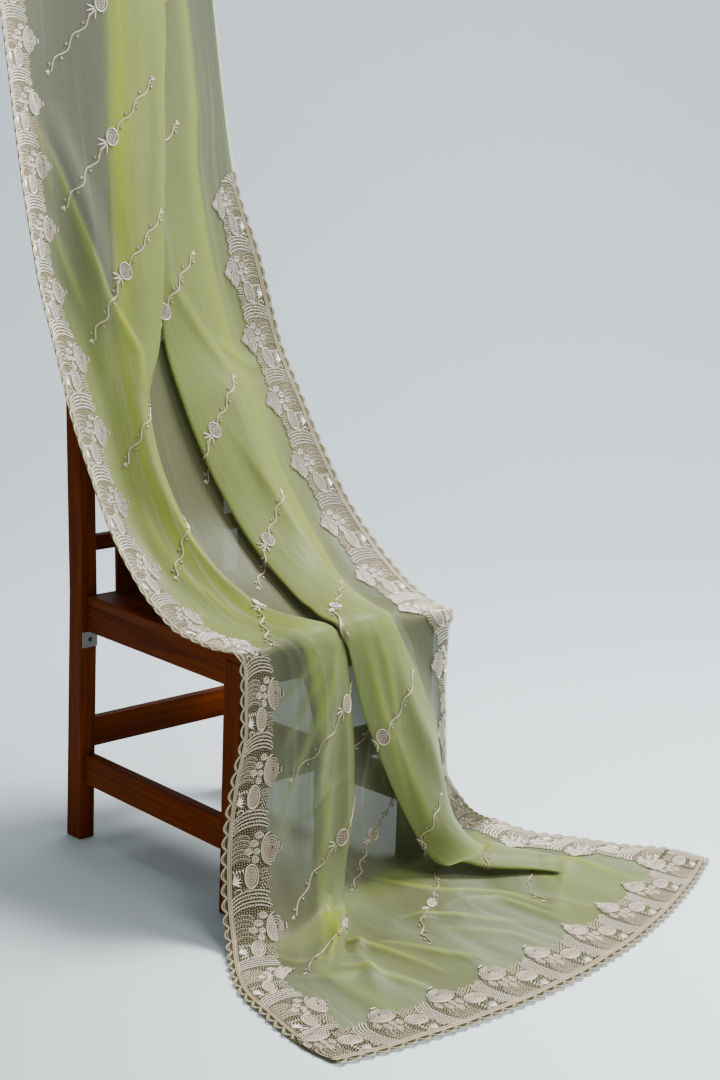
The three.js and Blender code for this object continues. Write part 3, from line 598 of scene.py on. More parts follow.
def density_at(length, t):
    """What the material reads: the fullness, more along fine creases and folded edges, and more
    where the cloth rises steeply off its cross line."""
    at = [LENGTH_OF[line] for line in FULLNESS]
    fields = [np.interp(length, at, column) for column in zip(*FULLNESS.values())]
    x = cloth_point(length, t)[:, 0]
    past = x - np.interp(length, *zip(*DOUBLED)) + DOUBLED_BLEND / 2
    single = np.clip(past / DOUBLED_BLEND, 0, 1)
    fields[0] = fields[0] + (1 - fields[0]) * single * (length < DOUBLED[-1][0])
    full = np.zeros(len(t))
    edges = np.array(FULLNESS_KNOTS)
    for i, field in enumerate(fields):
        start, stop = edges[2 * i], edges[2 * i + 1]
        before = start - edges[2 * i - 1] if i else 1
        after = edges[2 * i + 2] - stop if i < len(fields) - 1 else 1
        rising = np.clip((t - start) / before + 1, 0, 1)
        full += field * rising * np.clip((stop - t) / after + 1, 0, 1)
    lean = np.radians(smooth_columns(WHERE, WHERE_COLUMNS, length)["lean"])
    normal = cloth_normal(length, t)
    facing = np.abs(normal[:, 2] * np.cos(lean) - normal[:, 1] * np.sin(lean))
    left, right = OUTER_EDGES
    folded_edge = np.exp(-((t - left) / 0.3) ** 2) + np.exp(-((t - right) / 0.3) ** 2)
    folded_edge += (0.6 * np.exp(-np.abs(t - left) / 0.8) * (t > left)
                    + 0.6 * np.exp(-((t - RIGHT_TIP) / 0.25) ** 2))
    folded_edge *= np.interp(length, (DOUBLED[0][0], LENGTH_OF["crest"]), (1, 0.45))
    return (full + 1 / np.maximum(facing, LEAST_FACING) - 1 + fine_creases(length, x)[1]
            + folded_edge)


ROW_STEPS = ((0, 9), (560, 7), (1750, 6), (2120, 5))      # from each length on, rows this far apart
COLUMNS = 250
SHORT_OF_END = 6                      # the ground stops this far before the free end's edging


def make_ground():
    """The ground cloth on a grid of even steps across it, down to just short of its end, with its
    rows closer together where it creases more."""
    stops = [start for start, _ in ROW_STEPS[1:]] + [CLOTH_LENGTH - SHORT_OF_END]
    rows = np.concatenate([np.arange(start + 0.2, stop, step)
                           for (start, step), stop in zip(ROW_STEPS, stops)])
    length, across = np.meshgrid(rows, np.linspace(0, CUT_WIDTH, COLUMNS), indexing="ij")
    length, across = length.ravel(), across.ravel()
    t = knots_at(length, across)
    uv = np.stack([across, length], axis=1) * MM
    piece = make_mesh("saree", on_cloth(length, t), grid_faces(len(rows), COLUMNS), uv)
    set_attribute(piece, "layers", density_at(length, t))
    return piece


saree = make_ground()
saree.data.materials.append(organza_material())
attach(saree, "root")
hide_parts("saree_tail", "saree_rise", "saree_swoop", "saree_seat", "saree_fall",
            "saree_pallu")

# ---------------------------------------------------------------- the borders' net
# A band of beige net on both edges and across the free end, under the embroidery. Its outer edge
# is cut in scallops, and its inner edge follows the flowers. The right one begins above the chair.

ON_TOP = 1.5                          # the net lies this far over the cloth
REPEAT = 126                          # from one large flower to the next, as drawn
SCALLOP = REPEAT / 5
TURN = CLOTH_LENGTH - BAND            # from here on the end border takes the corners
DOME = LENGTH_OF["dome"]
DOME_LENGTH = 55                      # in which the right band widens, in a quarter of an ellipse
SPAN_SHORT = 9                        # the side bands end this far before the free end
SCALLOP_DEPTH = 3.5
NET_WIDTH, NET_SWELL = 79, 25         # from the edge, and how much more under a large flower
NET_WAVE, NET_WAVE_PITCH = 3, 21      # small waves of the inner edge
LARGE_ROSE = (86, 62)                 # middle of the large flower, inwards and down the repeat
NET_ROW, NET_POINTS = 3, 14           # the net's rows are this far apart, with so many points each


def on_left(u, v):
    """Length and knots of a point u inwards from the left edge and v down it."""
    length = np.interp(v, LEFT_RUN, LENGTH_STEPS)
    return length, knots_at(length, u)


def on_right(u, v):
    """The same on the right edge."""
    length = np.interp(v, RIGHT_RUN, LENGTH_STEPS)
    return length, knots_at(length, CUT_WIDTH - u)


def on_end(u, v):
    """Length and knots of a point u inwards from the free end and v from its left corner."""
    return CLOTH_LENGTH - u, knots_at(CLOTH_LENGTH - u, v)


LEFT_SPAN = (1, np.interp(CLOTH_LENGTH - SPAN_SHORT, LENGTH_STEPS, LEFT_RUN))
RIGHT_SPAN = (np.interp(DOME, LENGTH_STEPS, RIGHT_RUN),
              np.interp(CLOTH_LENGTH - SPAN_SHORT, LENGTH_STEPS, RIGHT_RUN))
END_SPAN = (0, CUT_WIDTH)

# Where each repeat starts, down the band. The upper left ones are eased closer together.
STARTS = {
    on_left: np.concatenate([[-67, 38], np.arange(143, 980, 105), np.arange(983, 3100, 126.5)]),
    on_right: np.arange(592, 3100, 124),
    on_end: np.arange(-31, 1500, 123),
}


def as_drawn(v, put):
    """A place v down a band, as the place in the drawing of a repeat."""
    starts = STARTS[put]
    return np.interp(v, starts, REPEAT * np.arange(len(starts))) % REPEAT


def net_edges(v, put):
    """Outer and inner edge of the net at v: scallops outside, and inside small waves that swell to
    their widest under each large flower."""
    drawn = as_drawn(v, put)
    outer = -SCALLOP_DEPTH * np.abs(np.sin(np.pi * drawn / SCALLOP))
    swell = NET_SWELL * np.exp(-(((drawn - LARGE_ROSE[1]) / 20) ** 2))
    inner = NET_WIDTH + swell + NET_WAVE * np.cos(2 * np.pi * drawn / NET_WAVE_PITCH)
    if put is on_right:
        begun = np.clip((v - RIGHT_SPAN[0]) / DOME_LENGTH, 0.002, 1)
        inner = inner * np.sqrt(1 - (1 - begun) ** 2)
    return outer, inner


def in_shade(length, t):
    """How much painted shade darkens the borders and the embroidery: about 1 at the free end, and
    where the cloth's left side hangs in front of the chair's legs, less on its right side there,
    and little or none on the seat and above it."""
    rows = [LENGTH_OF[line] for line in ("crest", "brink", "over", "fall5", "floor1", "end")]
    left = np.interp(length, rows, (0.2, 0.2, 1.2, 1.2, 0.9, 1.2))
    right = np.interp(length, rows, (0, 0, 0.7, 0.7, 0.55, 1.2))
    return left + (right - left) * np.clip((t - 6) / 16, 0, 1)


def net_material():
    """Beige net of fine crossed threads over a darker ground, worked with gold. Painted shade
    darkens it where it hangs in front of the chair's dark wood, and at the free end."""
    material, shader, v = new_material("border_net")
    uv = v.node("ShaderNodeUVMap", {"uv_map": "cloth"})
    fine = uv.stretched((420, 420, 1))
    mesh_holes = fine.node("ShaderNodeTexVoronoi", {"feature": "DISTANCE_TO_EDGE"},
                           {"Vector": fine, "Scale": 1.0})
    worked = uv.noise(55.0, 3)
    thread = mesh_holes.between(0.02, 0.16)
    dark = worked.mix((0.075, 0.062, 0.024, 1), (0.160, 0.127, 0.054, 1))
    light = worked.mix((0.270, 0.228, 0.112, 1), (0.430, 0.365, 0.215, 1))
    colour = thread.mix(light, dark)
    # Painted shade, as much as the shade attribute says.
    colour = (v.attribute("shade") * 0.75).mix(colour, (0.040, 0.032, 0.012, 1))
    drive(shader, base_color=colour, alpha=0.80 - thread * 0.35, roughness=0.55,
          normal=thread.bump(0.7, 0.0015, invert=True), specular_ior_level=0.1)
    return material


net = net_material()


def make_net(name, put, span, nodes, lift=ON_TOP):
    """A band of net on a grid: even rows along it, and even points from outer to inner edge."""
    rows = int((span[1] - span[0]) / NET_ROW) + 2
    v, share = np.meshgrid(np.linspace(*span, rows), np.linspace(0, 1, NET_POINTS), indexing="ij")
    v, share = v.ravel(), share.ravel()
    outer, inner = net_edges(v, put)
    u = outer + (inner - outer) * share
    length, t = put(u, v)
    uv = np.stack([u * MM, v * MM], axis=1)
    faces = grid_faces(rows, NET_POINTS)
    if put is on_left:
        faces = faces[:, ::-1]
    piece = make_mesh(name, on_cloth(length, t, lift), faces, uv)
    # How much painted shade the net's material darkens it by.
    set_attribute(piece, "shade", in_shade(length, t))
    piece.data.materials.append(net)
    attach(piece, "root")
    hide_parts(*nodes)
    return piece


BELOW_POLE = ("rise", "swoop", "seat", "fall", "pallu")
left_net = make_net("net_left", on_left, LEFT_SPAN,
                    ["border_left_" + s for s in ("tail",) + BELOW_POLE])
right_net = make_net("net_right", on_right, RIGHT_SPAN, ["border_right_" + s for s in BELOW_POLE])
end_net = make_net("net_end", on_end, END_SPAN, ["border_end"], ON_TOP + 1)

# ---------------------------------------------------------------- the borders' embroidery
# Flowers of beads in coils, fans of beaded arcs, padded leaves, and two cords along the edge, all
# worked on the net. One repeat is drawn flat, then laid again and again down each band.

THREAD, SILVER, GOLD, BROWN = 0.35, 1.0, 0.1, 0.0     # tones that the material turns into colours


def ring_path(centre, radii, start=0, stop=360, turns_in=1.0, points=40):
    """Points on an arc of an ellipse, angles in degrees, whose radius shrinks to turns_in of
    itself."""
    k = np.linspace(0, 1, points)[:, None]
    angle = np.radians(start + (stop - start) * k)
    scale = 1 + (turns_in - 1) * k
    round_centre = np.hstack([np.cos(angle) * radii[0], np.sin(angle) * radii[1]]) * scale
    return np.array(centre) + round_centre


def even_points(path, pitch):
    """Points at even steps along a path, each step about the pitch."""
    run = run_along(path)
    where = np.linspace(0, run[-1], max(int(run[-1] / pitch) + 1, 2))
    return np.stack([np.interp(where, run, path[:, i]) for i in (0, 1)], axis=1)


def grid_triangles(rows, columns):
    """The quads of such a grid, each cut in two."""
    quads = grid_faces(rows, columns)
    return np.vstack([quads[:, [0, 1, 2]], quads[:, [0, 2, 3]]])


def fan(sides):
    """Triangles from the points of a rim to the one that follows them."""
    return np.array([[i, (i + 1) % sides, sides] for i in range(sides)])


def thread(path, width=1.6, height=1.0, pitch=4.0, tone=THREAD):
    """A cord on the flat: a strip of three faces, raised in the middle, along even steps."""
    path = even_points(path, pitch)
    ahead = np.gradient(path, axis=0)
    ahead /= np.linalg.norm(ahead, axis=1, keepdims=True) + 1e-9
    aside = np.stack([-ahead[:, 1], ahead[:, 0]], axis=1)
    offset, rise = np.array([-0.5, -0.25, 0.25, 0.5]) * width, np.array([0, 1, 1, 0]) * height
    flat = path[:, None] + aside[:, None] * offset[None, :, None]
    height_at = np.broadcast_to(rise, flat.shape[:2])[..., None]
    points = np.concatenate([flat, height_at], axis=2).reshape(-1, 3)
    return points, grid_triangles(len(path), 4), tone


def beads(places, radius=1.3, height=1.5, tone=SILVER, sides=6):
    """A dome of a few sides on each place."""
    angle = np.radians(np.arange(sides) * 360 / sides)
    rim = np.stack([np.cos(angle) * radius, np.sin(angle) * radius, np.zeros(sides)], axis=1)
    dome = np.vstack([rim, [0, 0, height]])
    points = np.concatenate([places, np.zeros((len(places), 1))], axis=1)[:, None] + dome[None]
    starts = np.arange(len(places))[:, None, None] * (sides + 1)
    faces = (starts + fan(sides)[None]).reshape(-1, 3)
    return points.reshape(-1, 3), faces, tone


def leaf(base, tip, width, height=1.8, tone=THREAD):
    """A padded leaf from base to tip: a sine wave wide, and domed, with a dip down its middle."""
    base, tip = np.array(base, float), np.array(tip, float)
    along, across = np.meshgrid(np.linspace(0, 1, 8), np.linspace(-1, 1, 5), indexing="ij")
    swell = np.sin(np.pi * along) ** 0.8
    aside = np.array([-(tip - base)[1], (tip - base)[0]]) / np.linalg.norm(tip - base)
    flat = base + (tip - base) * along[..., None] + aside * (across * swell * width / 2)[..., None]
    rise = height * swell * (1 - across ** 2) * (0.75 + 0.25 * np.abs(across))
    points = np.concatenate([flat, rise[..., None]], axis=2).reshape(-1, 3)
    return points, grid_triangles(8, 5), tone


def beaded(path, pitch=3.2, radius=1.1, height=1.5, tone=SILVER):
    """A row of beads on a thread."""
    return [thread(path, 0.9, 0.4, 6.0, BROWN),
            beads(even_points(path, pitch), radius, height, tone)]


def disc(centre, radii, height, tone, sides=20):
    """A flat oval patch, a little raised in its middle."""
    angle = np.radians(np.arange(sides) * 360 / sides)
    rim = np.array(centre) + np.stack([np.cos(angle) * radii[0], np.sin(angle) * radii[1]], axis=1)
    points = np.vstack([np.c_[rim, np.full(sides, 0.1)], np.r_[centre, height]])
    return points, fan(sides), tone


COIL_PITCH = 3.9                      # between the turns of a rose's coil
STAGGER = 2.3                         # half the step between loose beads


def rose(centre, radii, turn=0.0):
    """A rose from above: a brown ground under a coil of silver beads from its rim to its heart, a
    second coil of fine thread between the turns, and a rim of cord."""
    centre, size = np.array(centre, float), np.array(radii, float)
    stop = turn + 360 * (size[0] / COIL_PITCH)
    outer_coil = ring_path(centre, size * 0.88, turn, stop, 0.12, 120)
    inner_coil = ring_path(centre, size * 0.77, turn, stop, 0.1, 120)
    parts = [disc(centre, size, 0.4, BROWN)]
    parts += beaded(outer_coil, 2.7, 1.05, 1.7)
    parts.append(thread(inner_coil, 0.6, 0.8, 3.0, GOLD))
    parts.append(thread(ring_path(centre, size), 1.3, 1.6, 3.0, SILVER))
    return parts


def coil(centre, radii):
    """A small oval: a coil of silver thread, 1.7 turns, on brown."""
    size = np.array(radii, float)
    return [disc(centre, size, 0.3, BROWN),
            thread(ring_path(centre, size * 0.95, 0, 360 * 1.7, 0.25, 50), 1.0, 1.3, 2.2, SILVER)]


def join(parts):
    """One set of points, faces and tones from many."""
    start = np.cumsum([0] + [len(points) for points, _, _ in parts])
    points = np.vstack([p for p, _, _ in parts])
    faces = np.vstack([f + s for (_, f, _), s in zip(parts, start)])
    tones = np.concatenate([np.full(len(p), tone) for p, _, tone in parts])
    return points, faces, tones


def border_edging():
    """The edge of one repeat: two cords with a dark braid and a row of beads between, and five
    scallops of cord, each with a row of beads inside it."""
    def line(u):
        return np.array([[u, 0], [u, REPEAT]], float)

    outer_cord, braid, inner_cord = 8.0, 11.2, 14.5
    parts = [thread(line(outer_cord), 1.5, 1.2, 5.0, THREAD),
             thread(line(inner_cord), 1.4, 1.1, 5.0, THREAD),
             thread(line(braid), 5.0, 0.4, 9.0, 0.06),
             beads(even_points(line(braid), 3.6), 1.3, 1.5, 0.45)]
    for k in range(5):
        half_round = np.sin(np.linspace(0, np.pi, 13))
        down = (k + np.linspace(0, 1, 13)) * SCALLOP
        cord = np.stack([6.0 - 9.5 * half_round, down], axis=1)
        parts.append(thread(cord, 2.2, 1.6, 3.0, THREAD))
        inner = np.stack([6.8 - 6.2 * half_round[2:-2], down[2:-2]], axis=1)
        parts.append(beads(even_points(inner, 3.4), 1.1, 1.2, THREAD))
    return parts


def staggered(across, down):
    """A grid of places whose every second row is shifted sideways by half a step."""
    across, down = np.meshgrid(across, down)
    return across + STAGGER * (np.arange(len(across)) % 2)[:, None], down


def border_repeat():
    """One repeat, u inwards from the edge and v down it: silver arcs at its head, finer ribs under
    them down the outer half, five coils beside a large rose at the inner edge, a row of drops, a
    spray of leaves beside a small upright rose, loose beads, and curls of gold thread."""
    parts = border_edging()
    for k in range(5):
        parts += beaded(ring_path((49, 14 + 5.9 * k), (37, 18), 196, 344), 2.7, 1.15, 1.6)
    for k in range(6):
        rib = ring_path((31, 42 + 7.2 * k), (17, 9), 195, 345)
        parts += beaded(rib, 2.9, 1.0, 1.4, 0.6 + 0.3 * (k % 2))
        parts.append(thread(rib + (0, 3.4), 0.8, 0.7, 3.0, GOLD))
    for centre in ((64, 37), (55, 49), (45, 60)):
        parts += coil(centre, (8.5, 6))
    parts += coil((60, 62), (6, 5.5)) + coil((57, 74), (6.5, 7))
    parts += rose(LARGE_ROSE, (18, 26), 20)
    for k in range(5):
        parts.append(leaf((18 + 5.5 * k, 86), (20 + 5.5 * k, 92), 2.6, 1.8, SILVER))
    for k in range(5):
        angle = np.radians(-70 + 23.75 * k)
        reach = (17 + 16 * np.cos(angle), 106 + 16 * np.sin(angle))
        parts.append(leaf((17, 106), reach, 3.0, 1.7, SILVER))
    parts += rose((50, 100), (12, 19), 75)
    across, down = staggered(np.arange(66, 86, 4.6), np.arange(92, 121, 4.8))
    parts.append(beads(np.stack([across.ravel(), down.ravel()], axis=1), 1.1, 1.4, 0.6))
    for k in range(18):
        place = (68 + 7.5 * (k % 3) + 3 * (k // 3 % 2), 96 + 5.6 * (k // 3))
        curl = ring_path(place, (2.4, 2.4), 40 * k, 40 * k + 300, 0.6, 10)
        parts.append(thread(curl, 0.8, 0.6, 2.4, GOLD))
    columns, rows = np.arange(19, 80, 4.6), np.arange(1, REPEAT, 4.2)
    across, down = staggered(columns, rows)
    across, down = across + np.sin(down), down + np.sin(columns)
    parts.append(beads(np.stack([across.ravel(), down.ravel()], axis=1), 0.95, 1.0, 0.5, 4))
    parts.append(thread(ring_path((28, 121), (8, 5), 150, 400, 0.5), 1.2, 1.4, 2.6, SILVER))
    parts.append(thread(ring_path((43, 123), (7, 4), 190, 430, 0.4), 1.2, 1.4, 2.4, THREAD))
    return join(parts)


def thread_material():
    """Ivory thread, gold cord, brown cord and silver beads, by the tone of each point, with fine
    stitches as bump. Painted shade has lowered the tone, and so darkened them, in front of the
    chair's legs and towards the free end."""
    material, shader, v = new_material("embroidery")
    tone = v.attribute("tone")
    stops = [(0.0, (0.170, 0.115, 0.065, 1)), (0.1, (0.38, 0.30, 0.165, 1)),
             (0.35, (0.70, 0.61, 0.44, 1)), (1.0, (0.98, 0.96, 0.91, 1))]
    colour = v.node("ShaderNodeValToRGB", {"stops": stops}, {"Fac": tone})
    stitches = v.node("ShaderNodeTexCoord", out=3).noise(900.0, 2)
    drive(shader, base_color=colour, roughness=0.44 - tone * 0.18, metallic=tone * 0.4,
          normal=stitches.bump(0.5, 0.0006))
    return material


stitching = thread_material()


def copies(motif, starts):
    """A flat motif set at each start down a band, as u, v, heights, faces and tones."""
    points, faces, tones = motif
    count = len(starts)
    u, height = (np.tile(points[:, axis], count) for axis in (0, 2))
    v = (points[:, 1] + np.array(starts)[:, None]).ravel()
    all_faces = (faces[None] + np.arange(count)[:, None, None] * len(points)).reshape(-1, 3)
    return u, v, height, all_faces, np.tile(tones, count)


SHADE_ON_THREAD = 0.45                # share of its tone that thread loses in full painted shade


def lay_flat_work(name, flat, put, inside, lift):
    """Copies of a motif bent onto the cloth. Faces that reach beyond the inside are left off."""
    u, v, height, faces, tones = flat
    faces = faces[inside[faces].all(axis=1)]
    used, faces = np.unique(faces, return_inverse=True)
    faces = faces.reshape(-1, 3)
    if put is on_left:
        faces = faces[:, ::-1]
    length, t = put(u[used], v[used])
    piece = make_mesh(name, on_cloth(length, t, height[used] + lift), faces)
    # The tone is lowered by painted shade, as much as in_shade says.
    set_attribute(piece, "tone", tones[used] * (1 - SHADE_ON_THREAD * in_shade(length, t)))
    piece.data.materials.append(stitching)
    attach(piece, "root")
    return piece


motif = border_repeat()


def lay_band(name, put, first, last, lift=ON_TOP + 0.3):
    """Repeats down a band from v = first to v = last, each stretched to the step to the next."""
    starts = STARTS[put]
    u, drawn, height, faces, tones = copies(motif, REPEAT * np.arange(len(starts) - 2))
    v = np.interp(drawn, REPEAT * np.arange(len(starts)), starts)
    inside = (v >= first) & (v <= last) & (u <= net_edges(v, put)[1] + 2)
    return lay_flat_work(name, (u, v, height, faces, tones), put, inside, lift)


UNDER_END = 8                         # the side bands' work runs this far under the end border
middle_of_left = (LEFT_SPAN[0] + LEFT_SPAN[1]) / 2
left_stop, right_stop = (np.interp(TURN + UNDER_END, LENGTH_STEPS, run)
                         for run in (LEFT_RUN, RIGHT_RUN))
embroidery = [
    lay_band("embroidery_left_upper", on_left, LEFT_SPAN[0], middle_of_left),
    lay_band("embroidery_left_lower", on_left, middle_of_left, left_stop),
    lay_band("embroidery_right", on_right, RIGHT_SPAN[0], right_stop),
    lay_band("embroidery_end", on_end, *END_SPAN, ON_TOP + 1.3),
]

# ---------------------------------------------------------------- the sprigs
# Wavy stems of ivory thread set slantwise over the field, each with a small rose and leaves at its
# middle and coiled buds on alternate sides, in columns down the cloth.

STEM_TIP = np.array([98, -104])       # one end of a stem from its middle, the other is opposite
BUD_OFF, BUD_RADIUS = 7.5, 3.4        # a bud's middle from the stem, and its size


def sprig():
    """One sprig about its rose: u across the cloth, v down it. The stem is a sine wave of 5.4 turns
    about the line from end to end."""
    k = np.linspace(-1, 1, 120)
    aside = np.array([1, 1]) / np.sqrt(2)

    def stem_at(k):
        wave = (4.2 - 0.8 * k) * np.sin(k * 17)
        return k[:, None] * STEM_TIP + aside * wave[:, None]

    stem = stem_at(k)
    parts = []
    for side in (k < -0.1, k > 0.1):
        parts.append(thread(stem[side], 1.9, 1.3, 3.0, 0.3))
        parts.append(thread(stem[side] + aside * 1.6, 0.8, 0.7, 3.0, GOLD))
    for i, place in enumerate(np.linspace(-0.94, 0.94, 12)):
        if abs(place) < 0.22:
            continue
        side = 1 if i % 2 else -1
        centre = stem_at(np.array([place]))[0] + aside * side * BUD_OFF
        curl = ring_path(centre, (BUD_RADIUS, BUD_RADIUS), 0, 520, 0.3, 20)
        parts.append(thread(curl, 0.9, 0.9, 2.0, GOLD))
        parts.append(beads(centre[None], 1.2, 1.5, SILVER))
        leaf_tip = centre - aside * side + (7, -7)
        parts.append(leaf(centre - aside * side * 6, leaf_tip, 2.0, 1.0, GOLD))
    parts += rose((8, -8), (11, 15), 40)
    for angle in (100, 135, 170, 205):
        a = np.radians(angle)
        tip = (-2 + 20 * np.cos(a), 1 + 20 * np.sin(a))
        parts.append(leaf((-2, 1), tip, 2.8, 1.9, 0.45))
    for side in (-1, 1):
        tip = side * STEM_TIP
        for spread in (-40, -10, 20):
            a = np.radians(-45 + spread) + (np.pi if side < 0 else 0)
            parts.append(leaf(tip, tip + 10 * np.array([np.cos(a), np.sin(a)]), 2.2, 1.2))
    return join(parts)


def on_field(u, v):
    """Length and knots of a point u from the left edge and v down the cloth."""
    return v, knots_at(v, u)


SPRIG_COLUMNS = ((222, 212), (517, 25), (812, 55))    # from the left edge, and down to the first
SPRIG_PITCH = 229
SPRIG_LAST, SPRIG_CLEAR = 40, 8       # before the end border: the last rose, and the last stitch
SPRIG_LIFT = 0.9


def make_sprigs():
    """One piece for each column of sprigs, all at the same pitch down the cloth."""
    points, faces, tones = sprig()
    for column, (across, first) in enumerate(SPRIG_COLUMNS):
        downs = np.arange(first, TURN - SPRIG_LAST, SPRIG_PITCH)
        flat = copies((points + (across, 0, 0), faces, tones), downs)
        inside = (flat[1] > 2) & (flat[1] < TURN - SPRIG_CLEAR)
        yield lay_flat_work(f"sprigs_{column + 1}", flat, on_field, inside, SPRIG_LIFT)


embroidery += list(make_sprigs())

# ---------------------------------------------------------------- the plain hem
# Where the right edge has no border, above the chair, it has a narrow hem of pale green satin,
# rolled over the raw edge.

HEM_WIDTH = 12
HEM_RISE = 1.4


def make_hem():
    """A strip folded over the edge and 1 mm past it: its section is a flattened half round."""
    rows, columns = 200, 7
    length, share = np.meshgrid(np.linspace(0.3, DOME, rows), np.linspace(0, 1, columns),
                                indexing="ij")
    length, share = length.ravel(), share.ravel()
    t = knots_at(length, CUT_WIDTH - HEM_WIDTH + (HEM_WIDTH + 1) * share)
    height = 0.4 + HEM_RISE * np.sin(np.pi * share)
    piece = make_mesh("hem", on_cloth(length, t, height), grid_faces(rows, columns))
    material, shader, v = new_material("satin")
    sheen = v.node("ShaderNodeTexCoord", out=3).noise(60.0, 2)
    drive(shader, base_color=sheen.mix((0.42, 0.48, 0.22, 1), (0.58, 0.63, 0.38, 1)),
          roughness=0.35)
    piece.data.materials.append(material)
    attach(piece, "root")
    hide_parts("piping_tail", "piping_rise")
    return piece


hem = make_hem()

# ---------------------------------------------------------------- the chair
# A plain side chair of dark stained hardwood, its boards glued and pegged, with a small steel
# bracket under the left end of the seat. Each board is the CAD solid with its edges eased.


def wood_material(name, lengthwise):
    """Dark red-brown stain under a thin wax: grain streaks that run along one axis of the board,
    slow darker bands across them, and fine pores as bump."""
    material, shader, v = new_material(name)
    place = v.node("ShaderNodeTexCoord", out=3)
    fine = np.where(np.arange(3) == lengthwise, 5.0, 130.0)
    broad = np.where(np.arange(3) == lengthwise, 1.5, 22.0)
    grain = place.stretched(tuple(fine)).noise(1.0, 4)
    bands = place.stretched(tuple(broad)).noise(1.0, 3)
    figure = grain * 0.45 + bands * 0.55
    dark, light = (0.075, 0.0110, 0.0004, 1), (0.190, 0.0350, 0.0006, 1)
    colour = figure.between(0.32, 0.68).mix(dark, light)
    drive(shader, base_color=colour, roughness=0.44 + grain * 0.12,
          normal=grain.bump(0.25, 0.001), specular_ior_level=0.04)
    return material


def eased(name, material, ease=0.0022):
    """A copy of a CAD solid whose edges are rounded by the ease, in metres. It replaces the
    solid. Bevels come in an order that changes from run to run, so the faces are put in order of
    their places."""
    work = bmesh.new()
    work.from_mesh(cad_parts[name].data)
    work.transform(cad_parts[name].matrix_world)
    bmesh.ops.remove_doubles(work, verts=work.verts, dist=1e-5)
    bmesh.ops.dissolve_limit(work, angle_limit=0.02, verts=work.verts, edges=work.edges)
    bmesh.ops.bevel(work, geom=list(work.edges), offset=ease, segments=3, profile=0.5,
                    affect="EDGES")
    bmesh.ops.triangulate(work, faces=work.faces)
    by_place = sorted(work.faces, key=lambda face: tuple(face.calc_center_median()))
    work.faces.sort(key={face: rank for rank, face in enumerate(by_place)}.get)
    mesh = bpy.data.meshes.new(name + "_eased")
    work.to_mesh(mesh)
    work.free()
    piece = bpy.data.objects.new(name + "_eased", mesh)
    bpy.context.collection.objects.link(piece)
    mesh.materials.append(material)
    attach(piece, "root")
    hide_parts(name)
    return piece


woods = [wood_material("wood_" + word, axis)
         for axis, word in enumerate(("sideways", "deep", "upright"))]
for name in sorted(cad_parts):
    if name.startswith("chair_") and name != "chair_bracket":
        low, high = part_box(name)
        eased(name, woods[int(np.argmax(np.array(high) - np.array(low)))])

HOLE_RADII = 0.0035, 0.0048           # of the screw hole's painted dark floor and of its rim, in metres


def bracket_material():
    """Dull zinc, with a screw hole in the middle of the plate's face, painted near black as painted
    shade.
    """
    material, shader, v = new_material("steel")
    place = v.node("ShaderNodeTexCoord", out=3)
    low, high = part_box("chair_bracket")
    middle = tuple((np.array(low) + np.array(high)) / 2)
    away = place.node("ShaderNodeVectorMath", {"operation": "DISTANCE"},
                      {0: place, 1: middle}, out=1)
    plate = place.noise(90.0, 3).mix((0.20, 0.20, 0.19, 1), (0.34, 0.34, 0.33, 1))
    # Painted shade: the hole is a near-black disc.
    drive(shader, base_color=away.between(*HOLE_RADII).mix((0.012, 0.010, 0.009, 1), plate),
          roughness=0.45, metallic=0.6)
    return material


def finish_solid(name, material):
    """A CAD solid shown as it is, in its own material."""
    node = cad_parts[name]
    node.data.materials.clear()
    node.data.materials.append(material)


finish_solid("chair_bracket", bracket_material())

# ---------------------------------------------------------------- the pole
# A plain round pole of pale wood, sanded and left bare, level and high behind the chair's back.
# The saree hangs from it.


def pole_material():
    """Pale bare wood with a faint mottle."""
    material, shader, v = new_material("pale_wood")
    mottle = v.node("ShaderNodeTexCoord", out=3).noise(40.0, 3)
    drive(shader, base_color=mottle.mix((0.416, 0.32, 0.208, 1), (0.52, 0.40, 0.26, 1)),
          roughness=0.5)
    return material


finish_solid("hanging_pole", pole_material())

# ---------------------------------------------------------------- floor, light and camera
# A seamless pale grey-blue sheet behind and under the chair, with a painted shadow on its floor to
# the left, a large soft light high on the right, weaker soft ones on the drape, the sheet and the
# floor, and a camera that looks a little down from the left front.

FOCAL = 68.25
CAMERA_PLACE = (-2223.49, -2622.16, 1346.45)
TURN_LEFT, TILT_DOWN, ROLL = 0.7584, 0.2229, 0.0361
AHEAD = np.array([np.sin(TURN_LEFT), np.cos(TURN_LEFT), 0])
ASIDE = np.array([np.cos(TURN_LEFT), -np.sin(TURN_LEFT), 0])


def make_camera():
    """Looks along its own heading, tilted down and rolled a little."""
    forward = AHEAD * np.cos(TILT_DOWN) - (0, 0, np.sin(TILT_DOWN))
    level_up = np.cross(ASIDE, forward)
    right = np.cos(ROLL) * ASIDE + np.sin(ROLL) * level_up
    up = np.cos(ROLL) * level_up - np.sin(ROLL) * ASIDE
    data = bpy.data.cameras.new("camera")
    data.sensor_fit = "VERTICAL"
    data.sensor_height = 36
    data.lens = FOCAL
    camera = bpy.data.objects.new("camera", data)
    matrix = np.eye(4)
    matrix[:3, 0], matrix[:3, 1], matrix[:3, 2] = right, up, -forward
    matrix[:3, 3] = np.array(CAMERA_PLACE) * MM + ORIGIN
    camera.matrix_world = Matrix(matrix.tolist())
    bpy.context.collection.objects.link(camera)
    bpy.context.scene.camera = camera


make_camera()

# The sheet, in metres from the frame's middle: its front edge and the start of its bend, ahead of
# the camera, the bend's radius, how high and how far to both sides it goes, and how deep it lies.
SHEET_FRONT, SHEET_BEND, BEND_RADIUS = -7.0, 2.4, 2.0
SHEET_TOP, SHEET_SIDE, UNDER_FEET = 7.0, 9.0, 0.0005


